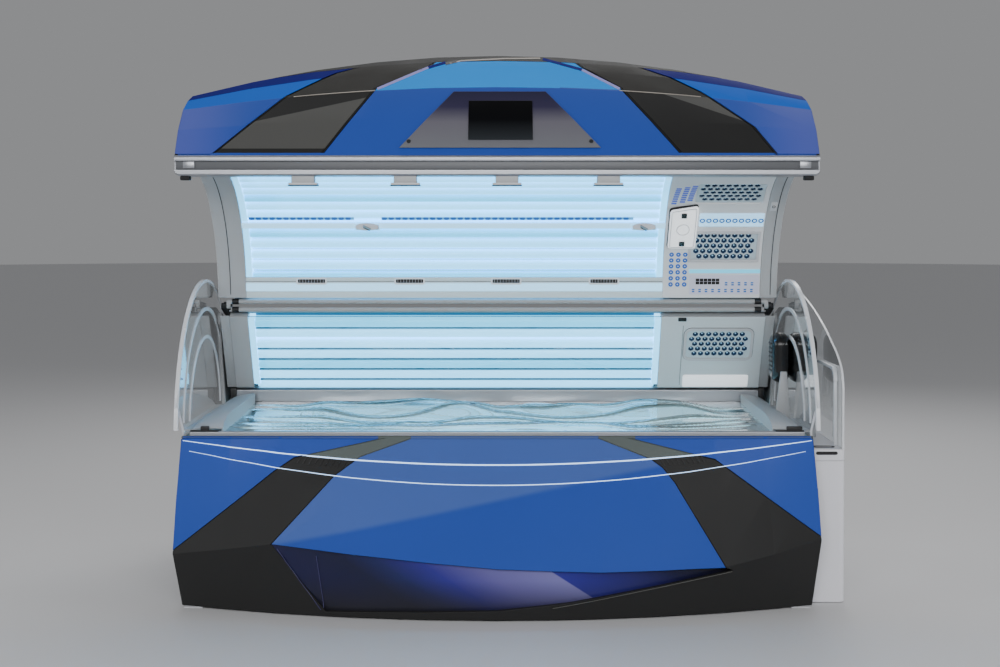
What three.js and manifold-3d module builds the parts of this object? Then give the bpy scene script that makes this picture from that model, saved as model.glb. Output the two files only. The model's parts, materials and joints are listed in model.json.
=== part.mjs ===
// Clamshell tanning bed, in millimetres: +X runs to the head end, +Y to the back, +Z up.
// The model is laid out from the bench front edge (y = 0) and the floor (z = 0), and the whole
// group is then moved so that its origin is the middle of its footprint.

import * as THREE from 'three';
import { mergeVertices } from 'three/addons/utils/BufferGeometryUtils.js';
import Module from 'manifold-3d';

const wasm = await Module();
wasm.setup();

// Driving dimensions: fits
const seatGap = 0.3; // between a piece and what carries it
const reveal = 3; // shadow line round a coloured panel

// Driving dimensions: lower body
const baseHalf = 1178; // half the front panel's top edge
const kneeFlare = 26; // how far the front panel widens at its knee
const bodyDepth = 1150; // bench front edge to the back cover
const benchHeight = 655; // floor to the top of the bench front rail
const railFace = 18; // height of the bench front rail above the front panel
const frontPanelTop = benchHeight - railFace;
const floorGap = 4; // under the front panel
const bellyBow = 215; // forward bow of the front panel at its knee
const endBelly = 45; // forward reach of the knee at the ends
const toeBow = 220; // forward bow of the front panel at the floor
const mouldingWall = 14;
const panelSkin = 5;
const endPanelWall = 8;
const endPanelOuter = baseHalf - mouldingWall / 2;
const endPanelInner = endPanelOuter - endPanelWall;
const plinthRecess = 18; // depth of the plinth panel behind the front surface

// Driving dimensions: steel frame
const tube = 40;
const frameInset = 66; // from the end panels to the centre of the outer posts
const frameHalf = endPanelInner - frameInset;
const innerPost = 380; // centre of the inner posts along X
const footHeight = 42;
const frontPostY = 60;
const rearPostY = 900;
const lampRoom = 142; // bearers to the ledge of the bench sheet, for the lamps and their tray

// Driving dimensions: bench
const benchMargin = 148; // from the end of the front panel to the end of the clear bench sheet
const benchHalf = baseHalf - benchMargin;
const benchDepth = 800; // front edge to the rear rail
const acrylicWall = 6;
const railLip = 16; // depth of the front rail's lip
const ledgeDepth = 13;
const benchLedge = benchHeight - ledgeDepth; // height the bench sheet rests at
const bearerTop = benchLedge - lampRoom;
const benchDip = 34; // hollow of the lying surface
const rearRailRise = 67; // rear rail above the front one
const rearRailTop = benchHeight + rearRailRise;
const trayWall = 6;
const lampRadius = 19;
const lampPitch = 45;
const lampSides = 6;
const holderWidth = 25;

// Driving dimensions: hinge
const hingeY = 615;
const hingeRise = 433; // hinge line above the bench
const hingeZ = benchHeight + hingeRise;
const postDrop = 118; // tops of the rear posts below the hinge line
const rearPostTop = hingeZ - postDrop;
const hingeRailRadius = 10;
const hingeRailOffset = 16.5; // each rail's centre above or below the pivot line
const pinRadius = 6;
const earRadius = 13;
const earWidth = 16.5;

// Driving dimensions: rear lamp panel
const panelSetback = 11; // upper edge of the rear panel behind the hinge line
const panelDrop = 48; // upper edge of the rear panel below the hinge line
const rearPanelFoot = new THREE.Vector2(benchDepth, rearRailTop + 5);
const rearPanelHead = new THREE.Vector2(hingeY + panelSetback, hingeZ - panelDrop);
const lampDepth = 54; // front of the clear sheet to the reflector
const panelInset = 7; // ends of the rear panel inside the posts' outer faces
const rearPanelHalf = frameHalf + tube / 2 - panelInset;

// Driving dimensions: canopy
const canopyOverhang = 27; // how far the canopy reaches past the front panel at each end
const canopyHalf = baseHalf + canopyOverhang;
const tunnelRadius = 550; // inside of the canopy's clear sheets
const tunnelSetback = 15; // from the tunnel arc to the hinge line
const tunnelY = hingeY - tunnelRadius - tunnelSetback; // centre of the tunnel arc with the canopy open
const tunnelZ = hingeZ - 2;
const canopyLampRoom = 55; // clear sheets to the tray
const trayRadius = tunnelRadius + canopyLampRoom; // inside of the canopy tray
const trayInset = 55; // from the end of the canopy to the end of its lamp tray
const trayHalf = canopyHalf - trayInset;
const footCheek = 117; // width of the cheek at the foot end
const headCheek = 70; // width of the cheek at the head end
const headUnitWidth = 402;
const headUnitRight = trayHalf - headCheek;
const fieldLeft = footCheek - trayHalf; // lamp field limits along X
const fieldRight = headUnitRight - headUnitWidth;
const arcFront = 74; // degrees, front end of the tunnel arc
const arcRear = 3.6; // degrees, hinge end of the tunnel arc
const shellWall = 10;
const shellSkin = 6; // coloured panels on the shell
const hoodRise = 417.7; // front rail to the crest
const hoodDepth = 848; // bench front edge to the back of the canopy
const lipSetback = 8; // foot of the hood behind the front rail's face
const crownDrop = 170; // how far the crest falls towards the ends
const railHeight = 76; // canopy front rail
const railDrop = 6.7; // underside of the front rail below the front edge of the clear sheets
const railBottom = tunnelZ + tunnelRadius * Math.sin(THREE.MathUtils.degToRad(arcFront)) - railDrop;
const railTop = railBottom + railHeight;
const railDepth = 60;

// Driving dimensions: end panes and side box
const paneWall = 8;
const paneRadius = 558;
const paneY = 440;
const paneZ = benchHeight - 10;
const sideBoxWidth = 141;
const sideBoxDrop = 75; // lid of the side box below the bench
const sideBoxTop = benchHeight - sideBoxDrop;
const sideBoxFront = 50;
const sideBoxRear = 1090;

const sheetMetal = (color) => new THREE.MeshStandardMaterial({ color, roughness: 0.35, metalness: 0.9 });
const plastic = (color, roughness) => new THREE.MeshStandardMaterial({ color, roughness, metalness: 0 });
const clear = () => new THREE.MeshStandardMaterial({
  color: 0xdfeff5, roughness: 0.05, metalness: 0, transparent: true, opacity: 0.3,
});

// Turns a closed geometry into a solid that can be joined and cut.
function solid(geometry) {
  const bare = geometry.clone();
  bare.deleteAttribute('normal');
  bare.deleteAttribute('uv');
  const merged = mergeVertices(bare, 1e-4);
  const mesh = new wasm.Mesh({
    numProp: 3,
    vertProperties: new Float32Array(merged.attributes.position.array),
    triVerts: new Uint32Array(merged.index.array),
  });
  return new wasm.Manifold(mesh);
}

function geometryOf(shape) {
  const mesh = shape.getMesh();
  const geometry = new THREE.BufferGeometry();
  geometry.setAttribute('position', new THREE.BufferAttribute(new Float32Array(mesh.vertProperties), 3));
  geometry.setIndex(new THREE.BufferAttribute(new Uint32Array(mesh.triVerts), 1));
  geometry.computeVertexNormals();
  return geometry;
}

function add(parent, name, shape, material) {
  const mesh = new THREE.Mesh(geometryOf(shape), material);
  mesh.name = name;
  parent.add(mesh);
  return mesh;
}

const joined = (shapes) => shapes.reduce((whole, shape) => whole.add(shape));

function box(x0, x1, y0, y1, z0, z1) {
  const geometry = new THREE.BoxGeometry(x1 - x0, y1 - y0, z1 - z0);
  geometry.translate((x0 + x1) / 2, (y0 + y1) / 2, (z0 + z1) / 2);
  return solid(geometry);
}

const alongX = new THREE.Matrix4().set(0, 0, 1, 0, 1, 0, 0, 0, 0, 1, 0, 0, 0, 0, 0, 1);

// An outline pushed along one axis: 'x' takes (y, z) points, 'y' takes (x, z), 'z' takes (x, y).
function prism(axis, outline, from, to, holes = []) {
  const shape = new THREE.Shape(outline.map(([a, b]) => new THREE.Vector2(a, b)));
  shape.holes = holes.map((hole) => new THREE.Path(hole.map(([a, b]) => new THREE.Vector2(a, b))));
  const geometry = new THREE.ExtrudeGeometry(shape, { depth: to - from, bevelEnabled: false });
  if (axis === 'x') geometry.applyMatrix4(alongX).translate(from, 0, 0);
  if (axis === 'y') geometry.rotateX(Math.PI / 2).translate(0, to, 0);
  if (axis === 'z') geometry.translate(0, 0, from);
  return solid(geometry);
}

function rod(axis, radius, sides, from, to, a, b) {
  const geometry = new THREE.CylinderGeometry(radius, radius, to - from, sides);
  const middle = (from + to) / 2;
  if (axis === 'x') geometry.rotateZ(Math.PI / 2).translate(middle, a, b);
  if (axis === 'y') geometry.translate(a, middle, b);
  if (axis === 'z') geometry.rotateX(Math.PI / 2).translate(a, b, middle);
  return solid(geometry);
}

const radians = (degrees) => degrees * Math.PI / 180;

function arcPoints(y, z, radius, fromDegrees, toDegrees, steps) {
  return Array.from({ length: steps + 1 }, (_, i) => {
    const angle = radians(fromDegrees + (toDegrees - fromDegrees) * i / steps);
    return [y + radius * Math.cos(angle), z + radius * Math.sin(angle)];
  });
}

function roundedRectangle(width, height, radius) {
  const [w, h] = [width / 2 - radius, height / 2 - radius];
  return [
    ...arcPoints(w, h, radius, 0, 90, 4), ...arcPoints(-w, h, radius, 90, 180, 4),
    ...arcPoints(-w, -h, radius, 180, 270, 4), ...arcPoints(w, -h, radius, 270, 360, 4),
  ];
}

// Moves each edge of a closed outline outwards by one distance.
function outset(outline, distance) {
  const area = outline.reduce((sum, [a, b], i) => {
    const [c, d] = outline[(i + 1) % outline.length];
    return sum + a * d - b * c;
  }, 0);
  const side = Math.sign(area);
  const count = outline.length;
  const normal = (i) => {
    const [a, b] = outline[i % count];
    const [c, d] = outline[(i + 1) % count];
    const length = Math.hypot(c - a, d - b);
    return [side * (d - b) / length, side * (a - c) / length];
  };
  return outline.map(([a, b], i) => {
    const before = normal(i + count - 1);
    const after = normal(i);
    const mitre = 1 + before[0] * after[0] + before[1] * after[1];
    return [a + distance * (before[0] + after[0]) / mitre, b + distance * (before[1] + after[1]) / mitre];
  });
}

// Skins rings of equal length into a closed body, with both end rings capped in the YZ plane.
// The second half of a ring takes the other diagonal, so that both faces of a slab have like facets.
function loft(path) {
  const inPlane = (ring) => ring.map((point) => new THREE.Vector2(point.y, point.z));
  const clockwise = THREE.ShapeUtils.isClockWise(inPlane(path[0]));
  const rings = clockwise ? path.map((ring) => [...ring].reverse()) : path;
  const count = rings[0].length;
  const positions = rings.flat().flatMap((point) => [point.x, point.y, point.z]);
  const faces = [];
  for (let ring = 0; ring + 1 < rings.length; ring += 1) {
    for (let i = 0; i < count; i += 1) {
      const a = ring * count + i;
      const b = ring * count + (i + 1) % count;
      if (i < count / 2) faces.push(a, b, a + count, b, b + count, a + count);
      else faces.push(a, b, b + count, a, b + count, a + count);
    }
  }
  const cap = (ring, flip) => {
    THREE.ShapeUtils.triangulateShape(inPlane(rings[ring]), []).forEach(([a, b, c]) => {
      const corners = flip ? [a, c, b] : [a, b, c];
      faces.push(...corners.map((corner) => corner + ring * count));
    });
  };
  cap(0, true);
  cap(rings.length - 1, false);
  const geometry = new THREE.BufferGeometry();
  geometry.setAttribute('position', new THREE.BufferAttribute(new Float32Array(positions), 3));
  geometry.setIndex(faces);
  return solid(facingOut(geometry));
}

// Turns every face over where a closed geometry came out inside out.
function facingOut(geometry) {
  const position = geometry.attributes.position;
  const corner = (i) => new THREE.Vector3().fromBufferAttribute(position, geometry.index.getX(i));
  let volume = 0;
  for (let i = 0; i < geometry.index.count; i += 3) {
    volume += corner(i).dot(corner(i + 1).cross(corner(i + 2)));
  }
  if (volume < 0) {
    const turned = Array.from(geometry.index.array);
    for (let i = 0; i < turned.length; i += 3) [turned[i], turned[i + 1]] = [turned[i + 1], turned[i]];
    geometry.setIndex(turned);
  }
  return geometry;
}

const bed = new THREE.Group();
const base = new THREE.Group();
const canopy = new THREE.Group();
bed.add(base, canopy);

const blue = plastic(0x345ca5, 0.3);
const charcoal = plastic(0x3a3a39, 0.45);
const paleGrey = plastic(0xb8bec2, 0.4);
const silver = sheetMetal(0x969698);
const black = plastic(0x111214, 0.5);

// Front panel: a dark moulding bowed forward at its knee, with coloured panels let into it
const kneeMarks = [[-1, 0.322], [-0.68, 0.419], [0, 0.311], [0.31, 0.285], [0.69, 0.284], [1, 0.401]];
const frontStations = [-1, -0.84, -0.68, -0.45, -0.22, 0, 0.155, 0.31, 0.5, 0.69, 0.845, 1];
const frontRows = [
  { height: 1, belly: 0, toe: 0, flare: 0 },
  { height: 0.5, belly: 0.5, toe: 0, flare: 0.6 },
  { height: 0, belly: 1, toe: 0, flare: 1 },
  { height: null, belly: 0, toe: 1, flare: 0 },
];

// Height of the knee at a station, which falls and rises from end to end.
function kneeAt(s) {
  const next = Math.max(1, kneeMarks.findIndex(([mark]) => mark >= Math.min(s, 1)));
  const [[s0, z0], [s1, z1]] = [kneeMarks[next - 1], kneeMarks[next]];
  return frontPanelTop * (z0 + (z1 - z0) * (s - s0) / (s1 - s0));
}

const rowHeight = (s, row) => (
  row.height === null ? floorGap : kneeAt(s) + row.height * (frontPanelTop - kneeAt(s))
);

function frontPoint(s, row, depth) {
  const bow = 1 - s * s;
  const reach = row.belly * (endBelly + bellyBow * bow) + row.toe * toeBow * bow;
  return new THREE.Vector3(s * (baseHalf + kneeFlare * row.flare), depth - reach, rowHeight(s, row));
}

// Stations from end to end, and one past each end where a cut has to run clear of them.
const pastEnds = (stations, past) => (past ? [-1 - past, ...stations, 1 + past] : stations);
const evenStations = (count) => Array.from({ length: count + 1 }, (_, i) => 2 * i / count - 1);

function frontSlab(from, to, past = 0) {
  const rings = [];
  for (const s of pastEnds(frontStations, past)) {
    const outer = frontRows.map((row) => frontPoint(s, row, from));
    const inner = frontRows.map((row) => frontPoint(s, row, to));
    rings.push([...outer, ...inner.reverse()]);
  }
  return loft(rings);
}

const frontReach = [-endBelly - bellyBow - 40, 80];
const frontCut = (outline) => prism('y', outline, ...frontReach);
const panelBand = 10; // dark band above the coloured panels
const topShare = 1 - panelBand / frontPanelTop;
const endShare = 1 + (kneeFlare + 20) / baseHalf;

// The panels' corners, as shares of the half length and of the height.
const frontMarks = (marks) => marks.map(([x, z]) => [x * baseHalf, z * frontPanelTop]);
const kneeWide = 1 + kneeFlare / baseHalf;
const alongKnee = (from, to, lift) => kneeMarks.slice(from, to)
  .map(([s, z]) => [s * kneeWide, z + lift]);
const centrePanel = frontMarks([
  [-0.272, topShare], [0.3225, topShare], [0.4825, 0.874], [0.519, 0.827], [0.555, 0.746],
  ...alongKnee(1, 5, 0.0003).reverse(), [-0.509, 0.785], [-0.43, 0.887],
]);
const leftPanel = frontMarks([
  [-endShare, topShare], [-0.379, topShare], [-0.641, 0.884], [-0.7016, 0.81], [-endShare, 0.32],
]);
const rightPanel = frontMarks([
  [0.436, topShare], [endShare, topShare], [endShare, 0.402], [0.736, 0.81], [0.688, 0.873],
]);
const plinthPanel = frontMarks([
  ...alongKnee(1, 5, -0.002), [0.728, 0.264], [0.224, 0.107], [0, 0.062], [-0.53, 0.034],
]);

const endRun = 0.05; // share of the half length that a pocket runs past the ends
const pocketSlab = frontSlab(-mouldingWall, panelSkin + seatGap, endRun);
const plinthSlab = frontSlab(-mouldingWall, plinthRecess + panelSkin + seatGap);
const plinthPan = frontSlab(mouldingWall / 2, plinthRecess + 2 * mouldingWall)
  .intersect(frontCut(outset(plinthPanel, mouldingWall / 2)));
let frontMoulding = frontSlab(0, mouldingWall).add(plinthPan);
[centrePanel, leftPanel, rightPanel].forEach((outline) => {
  frontMoulding = frontMoulding.subtract(pocketSlab.intersect(frontCut(outset(outline, reveal))));
});
frontMoulding = frontMoulding.subtract(plinthSlab.intersect(frontCut(outset(plinthPanel, seatGap))));
add(base, 'front_moulding', frontMoulding, charcoal);

const panelSlab = frontSlab(0, panelSkin);
add(base, 'front_centre_panel', panelSlab.intersect(frontCut(centrePanel)), blue);
add(base, 'front_left_panel', panelSlab.intersect(frontCut(leftPanel)), blue);
add(base, 'front_right_panel', panelSlab.intersect(frontCut(rightPanel)), blue);
const plinthSkin = frontSlab(plinthRecess, plinthRecess + panelSkin);
add(base, 'plinth_panel', plinthSkin.intersect(frontCut(plinthPanel)), plastic(0x1d1c3e, 0.15));

// Steel frame: a floor ladder with front posts, rear posts and the bearers under the bench tray
const railLow = footHeight;
const railHigh = footHeight + tube;
const rearRailY = bodyDepth - 110;
const frontPostTop = benchHeight - 55;
const postCentres = [-frameHalf, -innerPost, innerPost, frameHalf];
const frameTubes = [
  box(-frameHalf - tube / 2, frameHalf + tube / 2, frontPostY, frontPostY + tube, railLow, railHigh),
  box(-frameHalf - tube / 2, frameHalf + tube / 2, rearRailY, rearRailY + tube, railLow, railHigh),
];
postCentres.forEach((x) => {
  const [left, right] = [x - tube / 2, x + tube / 2];
  frameTubes.push(box(left, right, frontPostY, rearRailY + tube, railLow, railHigh));
  frameTubes.push(box(left, right, frontPostY, frontPostY + tube, railLow, frontPostTop));
  frameTubes.push(box(left, right, rearPostY, rearPostY + tube, railLow, rearPostTop));
  frameTubes.push(box(left, right, frontPostY, rearPostY + tube, bearerTop - tube, bearerTop));
});
add(base, 'base_frame', joined(frameTubes), sheetMetal(0x6d7073));

const footPad = 32;
const footStud = 9;
const padHeight = 14;
const footPlaces = {
  foot_front_left: [-frameHalf, frontPostY + tube / 2],
  foot_front_right: [frameHalf, frontPostY + tube / 2],
  foot_rear_left: [-frameHalf, rearRailY + tube / 2],
  foot_rear_right: [frameHalf, rearRailY + tube / 2],
};
Object.entries(footPlaces).forEach(([name, [x, y]]) => {
  const pad = rod('z', footPad, 16, 0, padHeight, 0, 0);
  const stud = rod('z', footStud, 8, padHeight / 2, footHeight - seatGap, 0, 0);
  add(base, name, pad.add(stud), black).position.set(x, y, 0);
});

// Bench: front rail, reflector tray, lamps, clear lying sheet and rear rail
const railBack = frontPostY + tube;
const railPlate = frontPostTop + 12;
const railBody = mouldingWall + 2 * seatGap;
const ledgeRear = railLip + 18;
const ledgeDrop = 1; // room under the bench sheet for its hollow
const frontRail = [
  [0, frontPanelTop + seatGap], [0, benchHeight - 4], [4, benchHeight], [railLip, benchHeight],
  [railLip, benchLedge - ledgeDrop], [ledgeRear, benchLedge - ledgeDrop], [ledgeRear, railPlate],
  [railBack, railPlate], [railBack, frontPostTop + seatGap], [railBody, frontPostTop + seatGap],
  [railBody, frontPanelTop + seatGap],
];
const railHalf = endPanelInner - mouldingWall;
add(base, 'front_rail', prism('x', frontRail, -railHalf, railHalf), silver);

const trayFront = railBack + 4;
const trayRear = benchDepth + 36;
const rearRailFoot = benchLedge + 8;
const trayFloor = bearerTop + seatGap;
const benchTray = [
  [trayFront, trayFloor], [trayRear, trayFloor], [trayRear, rearRailFoot - seatGap],
  [trayRear - trayWall, rearRailFoot - seatGap], [trayRear - trayWall, trayFloor + trayWall],
  [trayFront + trayWall, trayFloor + trayWall], [trayFront + trayWall, railPlate - seatGap],
  [trayFront, railPlate - seatGap],
];
const benchTrayHalf = benchHalf + 50;
add(base, 'bench_reflector', prism('x', benchTray, -benchTrayHalf, benchTrayHalf), sheetMetal(0xd8dde0));

const lampFloor = trayFloor + trayWall + seatGap;
const benchLampZ = lampFloor + lampRadius + 14;
const benchLampStart = trayFront + trayWall + 30;
const benchLampCount = Math.floor((trayRear - trayWall - 30 - benchLampStart) / lampPitch) + 1;
const benchLamps = [];
for (let i = 0; i < benchLampCount; i += 1) {
  const y = benchLampStart + i * lampPitch;
  benchLamps.push(rod('x', lampRadius, lampSides, -benchHalf, benchHalf, y, benchLampZ));
}
const holderTop = benchLampZ + lampRadius + 3;
const holderEdge = lampRadius + 4; // from the outer lamps' centres to the holder's edge
const benchHolderFront = benchLampStart - holderEdge;
const holderRear = benchLampStart + (benchLampCount - 1) * lampPitch + holderEdge;
[-benchHalf - holderWidth / 2, benchHalf - holderWidth / 2].forEach((x) => {
  benchLamps.push(box(x, x + holderWidth, benchHolderFront, holderRear, lampFloor, holderTop));
});
const lampGlass = new THREE.MeshStandardMaterial({ color: 0xdff3fb, emissive: 0x9adcf5, roughness: 0.2 });
add(base, 'bench_lamps', joined(benchLamps), lampGlass);

// The lying surface is one clear sheet: hollow from front to back, with a raised neck, a small of
// the back and a knee along its length.
const benchFront = railLip + seatGap;
const benchRear = benchDepth;
const benchStations = 16;
const benchRows = [0, 0.04, 0.15, 0.3, 0.5, 0.7, 0.85, 0.96, 1];
const rearLedge = benchLedge + 20;
function benchSurface(s, t) {
  const ends = 1 - 0.9 * s ** 8;
  const hollow = Math.sin(Math.PI * t) ** 2;
  const wave = 0.55 * Math.cos(3 * Math.PI * s) * hollow * ends;
  return benchLedge + (rearLedge - benchLedge) * t - benchDip * (hollow * ends - wave * 0.6);
}
const benchRings = [];
for (let i = 0; i <= benchStations; i += 1) {
  const s = 2 * i / benchStations - 1;
  const top = benchRows.map((t) => {
    const y = benchFront + (benchRear - benchFront) * t;
    return new THREE.Vector3(s * benchHalf, y, benchSurface(s, t) + seatGap);
  });
  const under = top.map((point) => point.clone());
  top.forEach((point) => { point.z += acrylicWall; });
  benchRings.push([...top, ...under.reverse()]);
}
add(base, 'bench_acrylic', loft(benchRings), clear());

const rearLedgeFront = benchRear - 30;
const rearRailFace = benchRear + seatGap;
const rearRail = [
  [rearLedgeFront, rearRailFoot], [rearLedgeFront, rearLedge - 2], [rearRailFace, rearLedge - 2],
  [rearRailFace, rearRailTop - 6], [benchRear + 6, rearRailTop], [benchRear + 14, rearRailTop],
  [trayRear, rearRailTop - 18], [trayRear, rearRailFoot],
];
add(base, 'rear_rail', prism('x', rearRail, -rearPanelHalf, rearPanelHalf), silver);

// End panels close the body, and a quarter-round moulding covers each end of the bench
const endPanelTop = benchLedge - 2;
const humpTop = hingeZ - 28;
const inside = (row) => mouldingWall + seatGap - row.belly * endBelly;
const endPanel = (s) => [
  ...frontRows.map((row) => [inside(row), Math.min(rowHeight(s, row), endPanelTop)]).reverse(),
  [trayRear + 10, endPanelTop], [rearPanelHead.x + 100, humpTop - 60],
  [rearPanelHead.x + 130, humpTop - 12],
  [bodyDepth - 152, humpTop - 80], [bodyDepth - 1, humpTop - 211], [bodyDepth - 1, floorGap],
];
const endMoulding = [
  [benchHalf + seatGap, benchLedge], [benchHalf + seatGap, benchHeight],
  ...arcPoints(benchHalf + 30, benchHeight + 66, 60, 270, 340, 5),
  [endPanelOuter - 24, benchHeight + 48], [endPanelOuter, benchHeight + 30], [endPanelOuter, benchLedge],
];
const mirrorX = (outline) => outline.map(([x, z]) => [-x, z]).reverse();
const ends = { left: -1, right: 1 };
Object.entries(ends).forEach(([side, sign]) => {
  const [from, to] = [endPanelInner * sign, endPanelOuter * sign].sort((a, b) => a - b);
  add(base, `base_end_panel_${side}`, prism('x', endPanel(sign), from, to), paleGrey);
  const section = sign > 0 ? endMoulding : mirrorX(endMoulding);
  const moulding = prism('y', section, railLip + seatGap, rearLedgeFront - seatGap);
  add(base, `end_moulding_${side}`, moulding, paleGrey);
});

// Clear arch at each end of the tunnel, standing against the end panel
const paneFoot = endPanelTop - 30;
const paneToe = mouldingWall + 2;
const paneFront = [[paneToe, paneFoot], [paneToe, paneZ + 10], [-62, paneZ + 92], [-124, paneZ + 116]];
const paneOutline = [
  ...paneFront,
  ...arcPoints(paneY, paneZ, paneRadius, 162, 2, 24),
  [paneY + paneRadius - 30, paneFoot],
];
const podY = 450; // centre of the air pod on the head-end arch
const podZ = benchHeight + 235;
const neckRadius = 22;
const neckSides = 12;
const neckClear = (neckRadius + seatGap) / Math.cos(Math.PI / neckSides);
const neckHole = arcPoints(podY, podZ, neckClear, 0, 360 - 360 / neckSides, neckSides - 1);
const paneInner = endPanelOuter + seatGap;
const paneOuter = paneInner + paneWall;
Object.entries(ends).forEach(([side, sign]) => {
  const [from, to] = [paneInner * sign, paneOuter * sign].sort((a, b) => a - b);
  const holes = sign > 0 ? [neckHole] : [];
  add(base, `arch_pane_${side}`, prism('x', paneOutline, from, to, holes), clear());
});

// Air pod at the head end: a rounded blower housing on each side of the clear arch, joined by a neck
const podWidth = 130;
const podHeight = 200;
const podCorner = 50;
const podInside = 72; // reach of the inner housing from the arch
const podOutside = 100; // reach of the outer housing from the arch
const podOutline = roundedRectangle(podWidth, podHeight, podCorner).map(([y, z]) => [y + podY, z + podZ]);
const airPod = joined([
  prism('x', podOutline, paneInner - seatGap - podInside, paneInner - seatGap),
  rod('x', neckRadius, neckSides, paneInner - podInside / 2, paneOuter + podOutside / 2, podY, podZ),
  prism('x', podOutline, paneOuter + seatGap, paneOuter + seatGap + podOutside),
]);
add(base, 'air_pod', airPod, black);

// Side box beyond the head end, with a finger slot in its top and a clear outer pane standing on it
const sideBoxInner = endPanelOuter + seatGap;
const sideBoxOuter = sideBoxInner + sideBoxWidth;
const boxCorner = 24;
const boxPlan = [
  [sideBoxInner, sideBoxFront],
  ...arcPoints(sideBoxOuter - boxCorner, sideBoxFront + boxCorner, boxCorner, 270, 360, 5),
  ...arcPoints(sideBoxOuter - boxCorner, sideBoxRear - boxCorner, boxCorner, 0, 90, 5),
  [sideBoxInner, sideBoxRear],
];
const slotLength = 38;
const slotRadius = 14;
const slotX = (sideBoxInner + sideBoxOuter) / 2;
const slotY = sideBoxFront + 60;
const slotPlan = [
  ...arcPoints(slotX + slotLength - slotRadius, slotY, slotRadius, -90, 90, 6),
  ...arcPoints(slotX - slotLength + slotRadius, slotY, slotRadius, 90, 270, 6),
];
const lidLine = sideBoxTop - 45;
const lidGroove = 3;
const [grooveLow, grooveHigh] = [lidLine, lidLine + lidGroove];
const grooveReach = 20; // how far the groove's cutter runs past the box
const grooveCut = prism('z', outset(boxPlan, grooveReach), grooveLow, grooveHigh)
  .subtract(prism('z', outset(boxPlan, -lidGroove), grooveLow - 1, grooveHigh + 1))
  .intersect(box(
    sideBoxInner + grooveReach / 2, sideBoxOuter + grooveReach,
    sideBoxFront - 2 * grooveReach, sideBoxRear + 2 * grooveReach, grooveLow, grooveHigh,
  ));
const sideBox = prism('z', boxPlan, floorGap / 2, sideBoxTop)
  .subtract(prism('z', slotPlan, sideBoxTop - 30, sideBoxTop + 1))
  .subtract(grooveCut);
add(base, 'side_box', sideBox, plastic(0xcfcfd4, 0.35));

const outerPaneFace = sideBoxOuter - 5;
const outerPane = [
  [sideBoxFront, sideBoxTop + seatGap], [sideBoxFront, sideBoxTop + 240],
  ...new THREE.SplineCurve([
    new THREE.Vector2(sideBoxFront + 30, sideBoxTop + 300), new THREE.Vector2(240, sideBoxTop + 378),
    new THREE.Vector2(520, sideBoxTop + 475), new THREE.Vector2(800, sideBoxTop + 536),
    new THREE.Vector2(sideBoxRear - 90, sideBoxTop + 560),
  ]).getPoints(10).map((point) => [point.x, point.y]),
  ...arcPoints(sideBoxRear - 85, sideBoxTop + 480, 80, 84, 0, 5),
  [sideBoxRear - 5, sideBoxTop + seatGap],
];
add(base, 'outer_pane', prism('x', outerPane, outerPaneFace - paneWall, outerPaneFace), clear());

// Rear lamp panel: leans forward over the bench, laid out along its slope and square to it
const slope = rearPanelHead.clone().sub(rearPanelFoot);
const slopeLength = slope.length();
const up = slope.clone().normalize();
const behind = new THREE.Vector2(up.y, -up.x);
const rearPoint = (along, depth) => [
  rearPanelFoot.x + up.x * along + behind.x * depth,
  rearPanelFoot.y + up.y * along + behind.y * depth,
];
const rearSlab = (x0, x1, along0, along1, depth0, depth1) => prism('x', [
  rearPoint(along0, depth0), rearPoint(along1, depth0),
  rearPoint(along1, depth1), rearPoint(along0, depth1),
], x0, x1);

const sheetEdge = 8; // how far the reflector runs past the lamps at the head and foot
const flangeWall = 7;
const flangeTop = hingeZ - hingeRailOffset - 3;
const flangeFront = hingeY + hingeRailRadius + seatGap;
const [panelBackY] = rearPoint(slopeLength, lampDepth + trayWall);
const panelFootZ = rearRailFoot + 10;
const panelSpan = [-rearPanelHalf, rearPanelHalf];
const panelRun = [-sheetEdge, slopeLength + sheetEdge];
const heelWall = 14;
const heelFront = trayRear + seatGap;
const rearReflector = joined([
  rearSlab(...panelSpan, ...panelRun, lampDepth + seatGap, lampDepth + trayWall),
  box(...panelSpan, heelFront, heelFront + heelWall, panelFootZ, rearPanelFoot.y + 24),
  box(...panelSpan, flangeFront, panelBackY + 4, flangeTop - flangeWall, flangeTop),
]);
const cornerBlock = (x0, x1) => rearSlab(x0, x1, 0, slopeLength, 0, lampDepth + trayWall / 2);

// Honeycomb grille: a flat plate of hexagon holes in staggered rows
const hexPitch = 28;
const hexRadius = 13;
const grilleWall = 6;
const grilleMargin = 8;
const hexRows = 5;
const hexColumns = 9;
const hexRowPitch = hexPitch * Math.sqrt(3) / 2;
const grilleWidth = hexColumns * hexPitch + 2 * grilleMargin;
const grilleHeight = (hexRows - 1) * hexRowPitch + 2 * hexRadius + 2 * grilleMargin;
const grilleLedge = 5; // how far the plate rests on its frame
const grilleCavity = 24; // lamp space behind the plate

function honeycomb() {
  const holes = [];
  for (let row = 0; row < hexRows; row += 1) {
    const count = hexColumns - 1 + row % 2;
    const z = (row - (hexRows - 1) / 2) * hexRowPitch;
    for (let i = 0; i < count; i += 1) {
      const x = (i - (count - 1) / 2) * hexPitch;
      holes.push(arcPoints(x, z, hexRadius, 30, 330, 5));
    }
  }
  return prism('z', roundedRectangle(grilleWidth, grilleHeight, 14), 0, grilleWall, holes);
}

// A grille's pocket, in its plate's own frame: the seat for the plate and the lamp space under it.
function grillePocket(depth) {
  const seat = roundedRectangle(grilleWidth + 2 * seatGap, grilleHeight + 2 * seatGap, 14);
  const space = roundedRectangle(grilleWidth - 2 * grilleLedge, grilleHeight - 2 * grilleLedge, 10);
  return prism('z', seat, -seatGap, depth).add(prism('z', space, -grilleCavity, depth));
}

const placed = (shape, object) => {
  object.updateMatrix();
  const geometry = geometryOf(shape);
  geometry.applyMatrix4(object.matrix);
  return solid(geometry);
};

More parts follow.
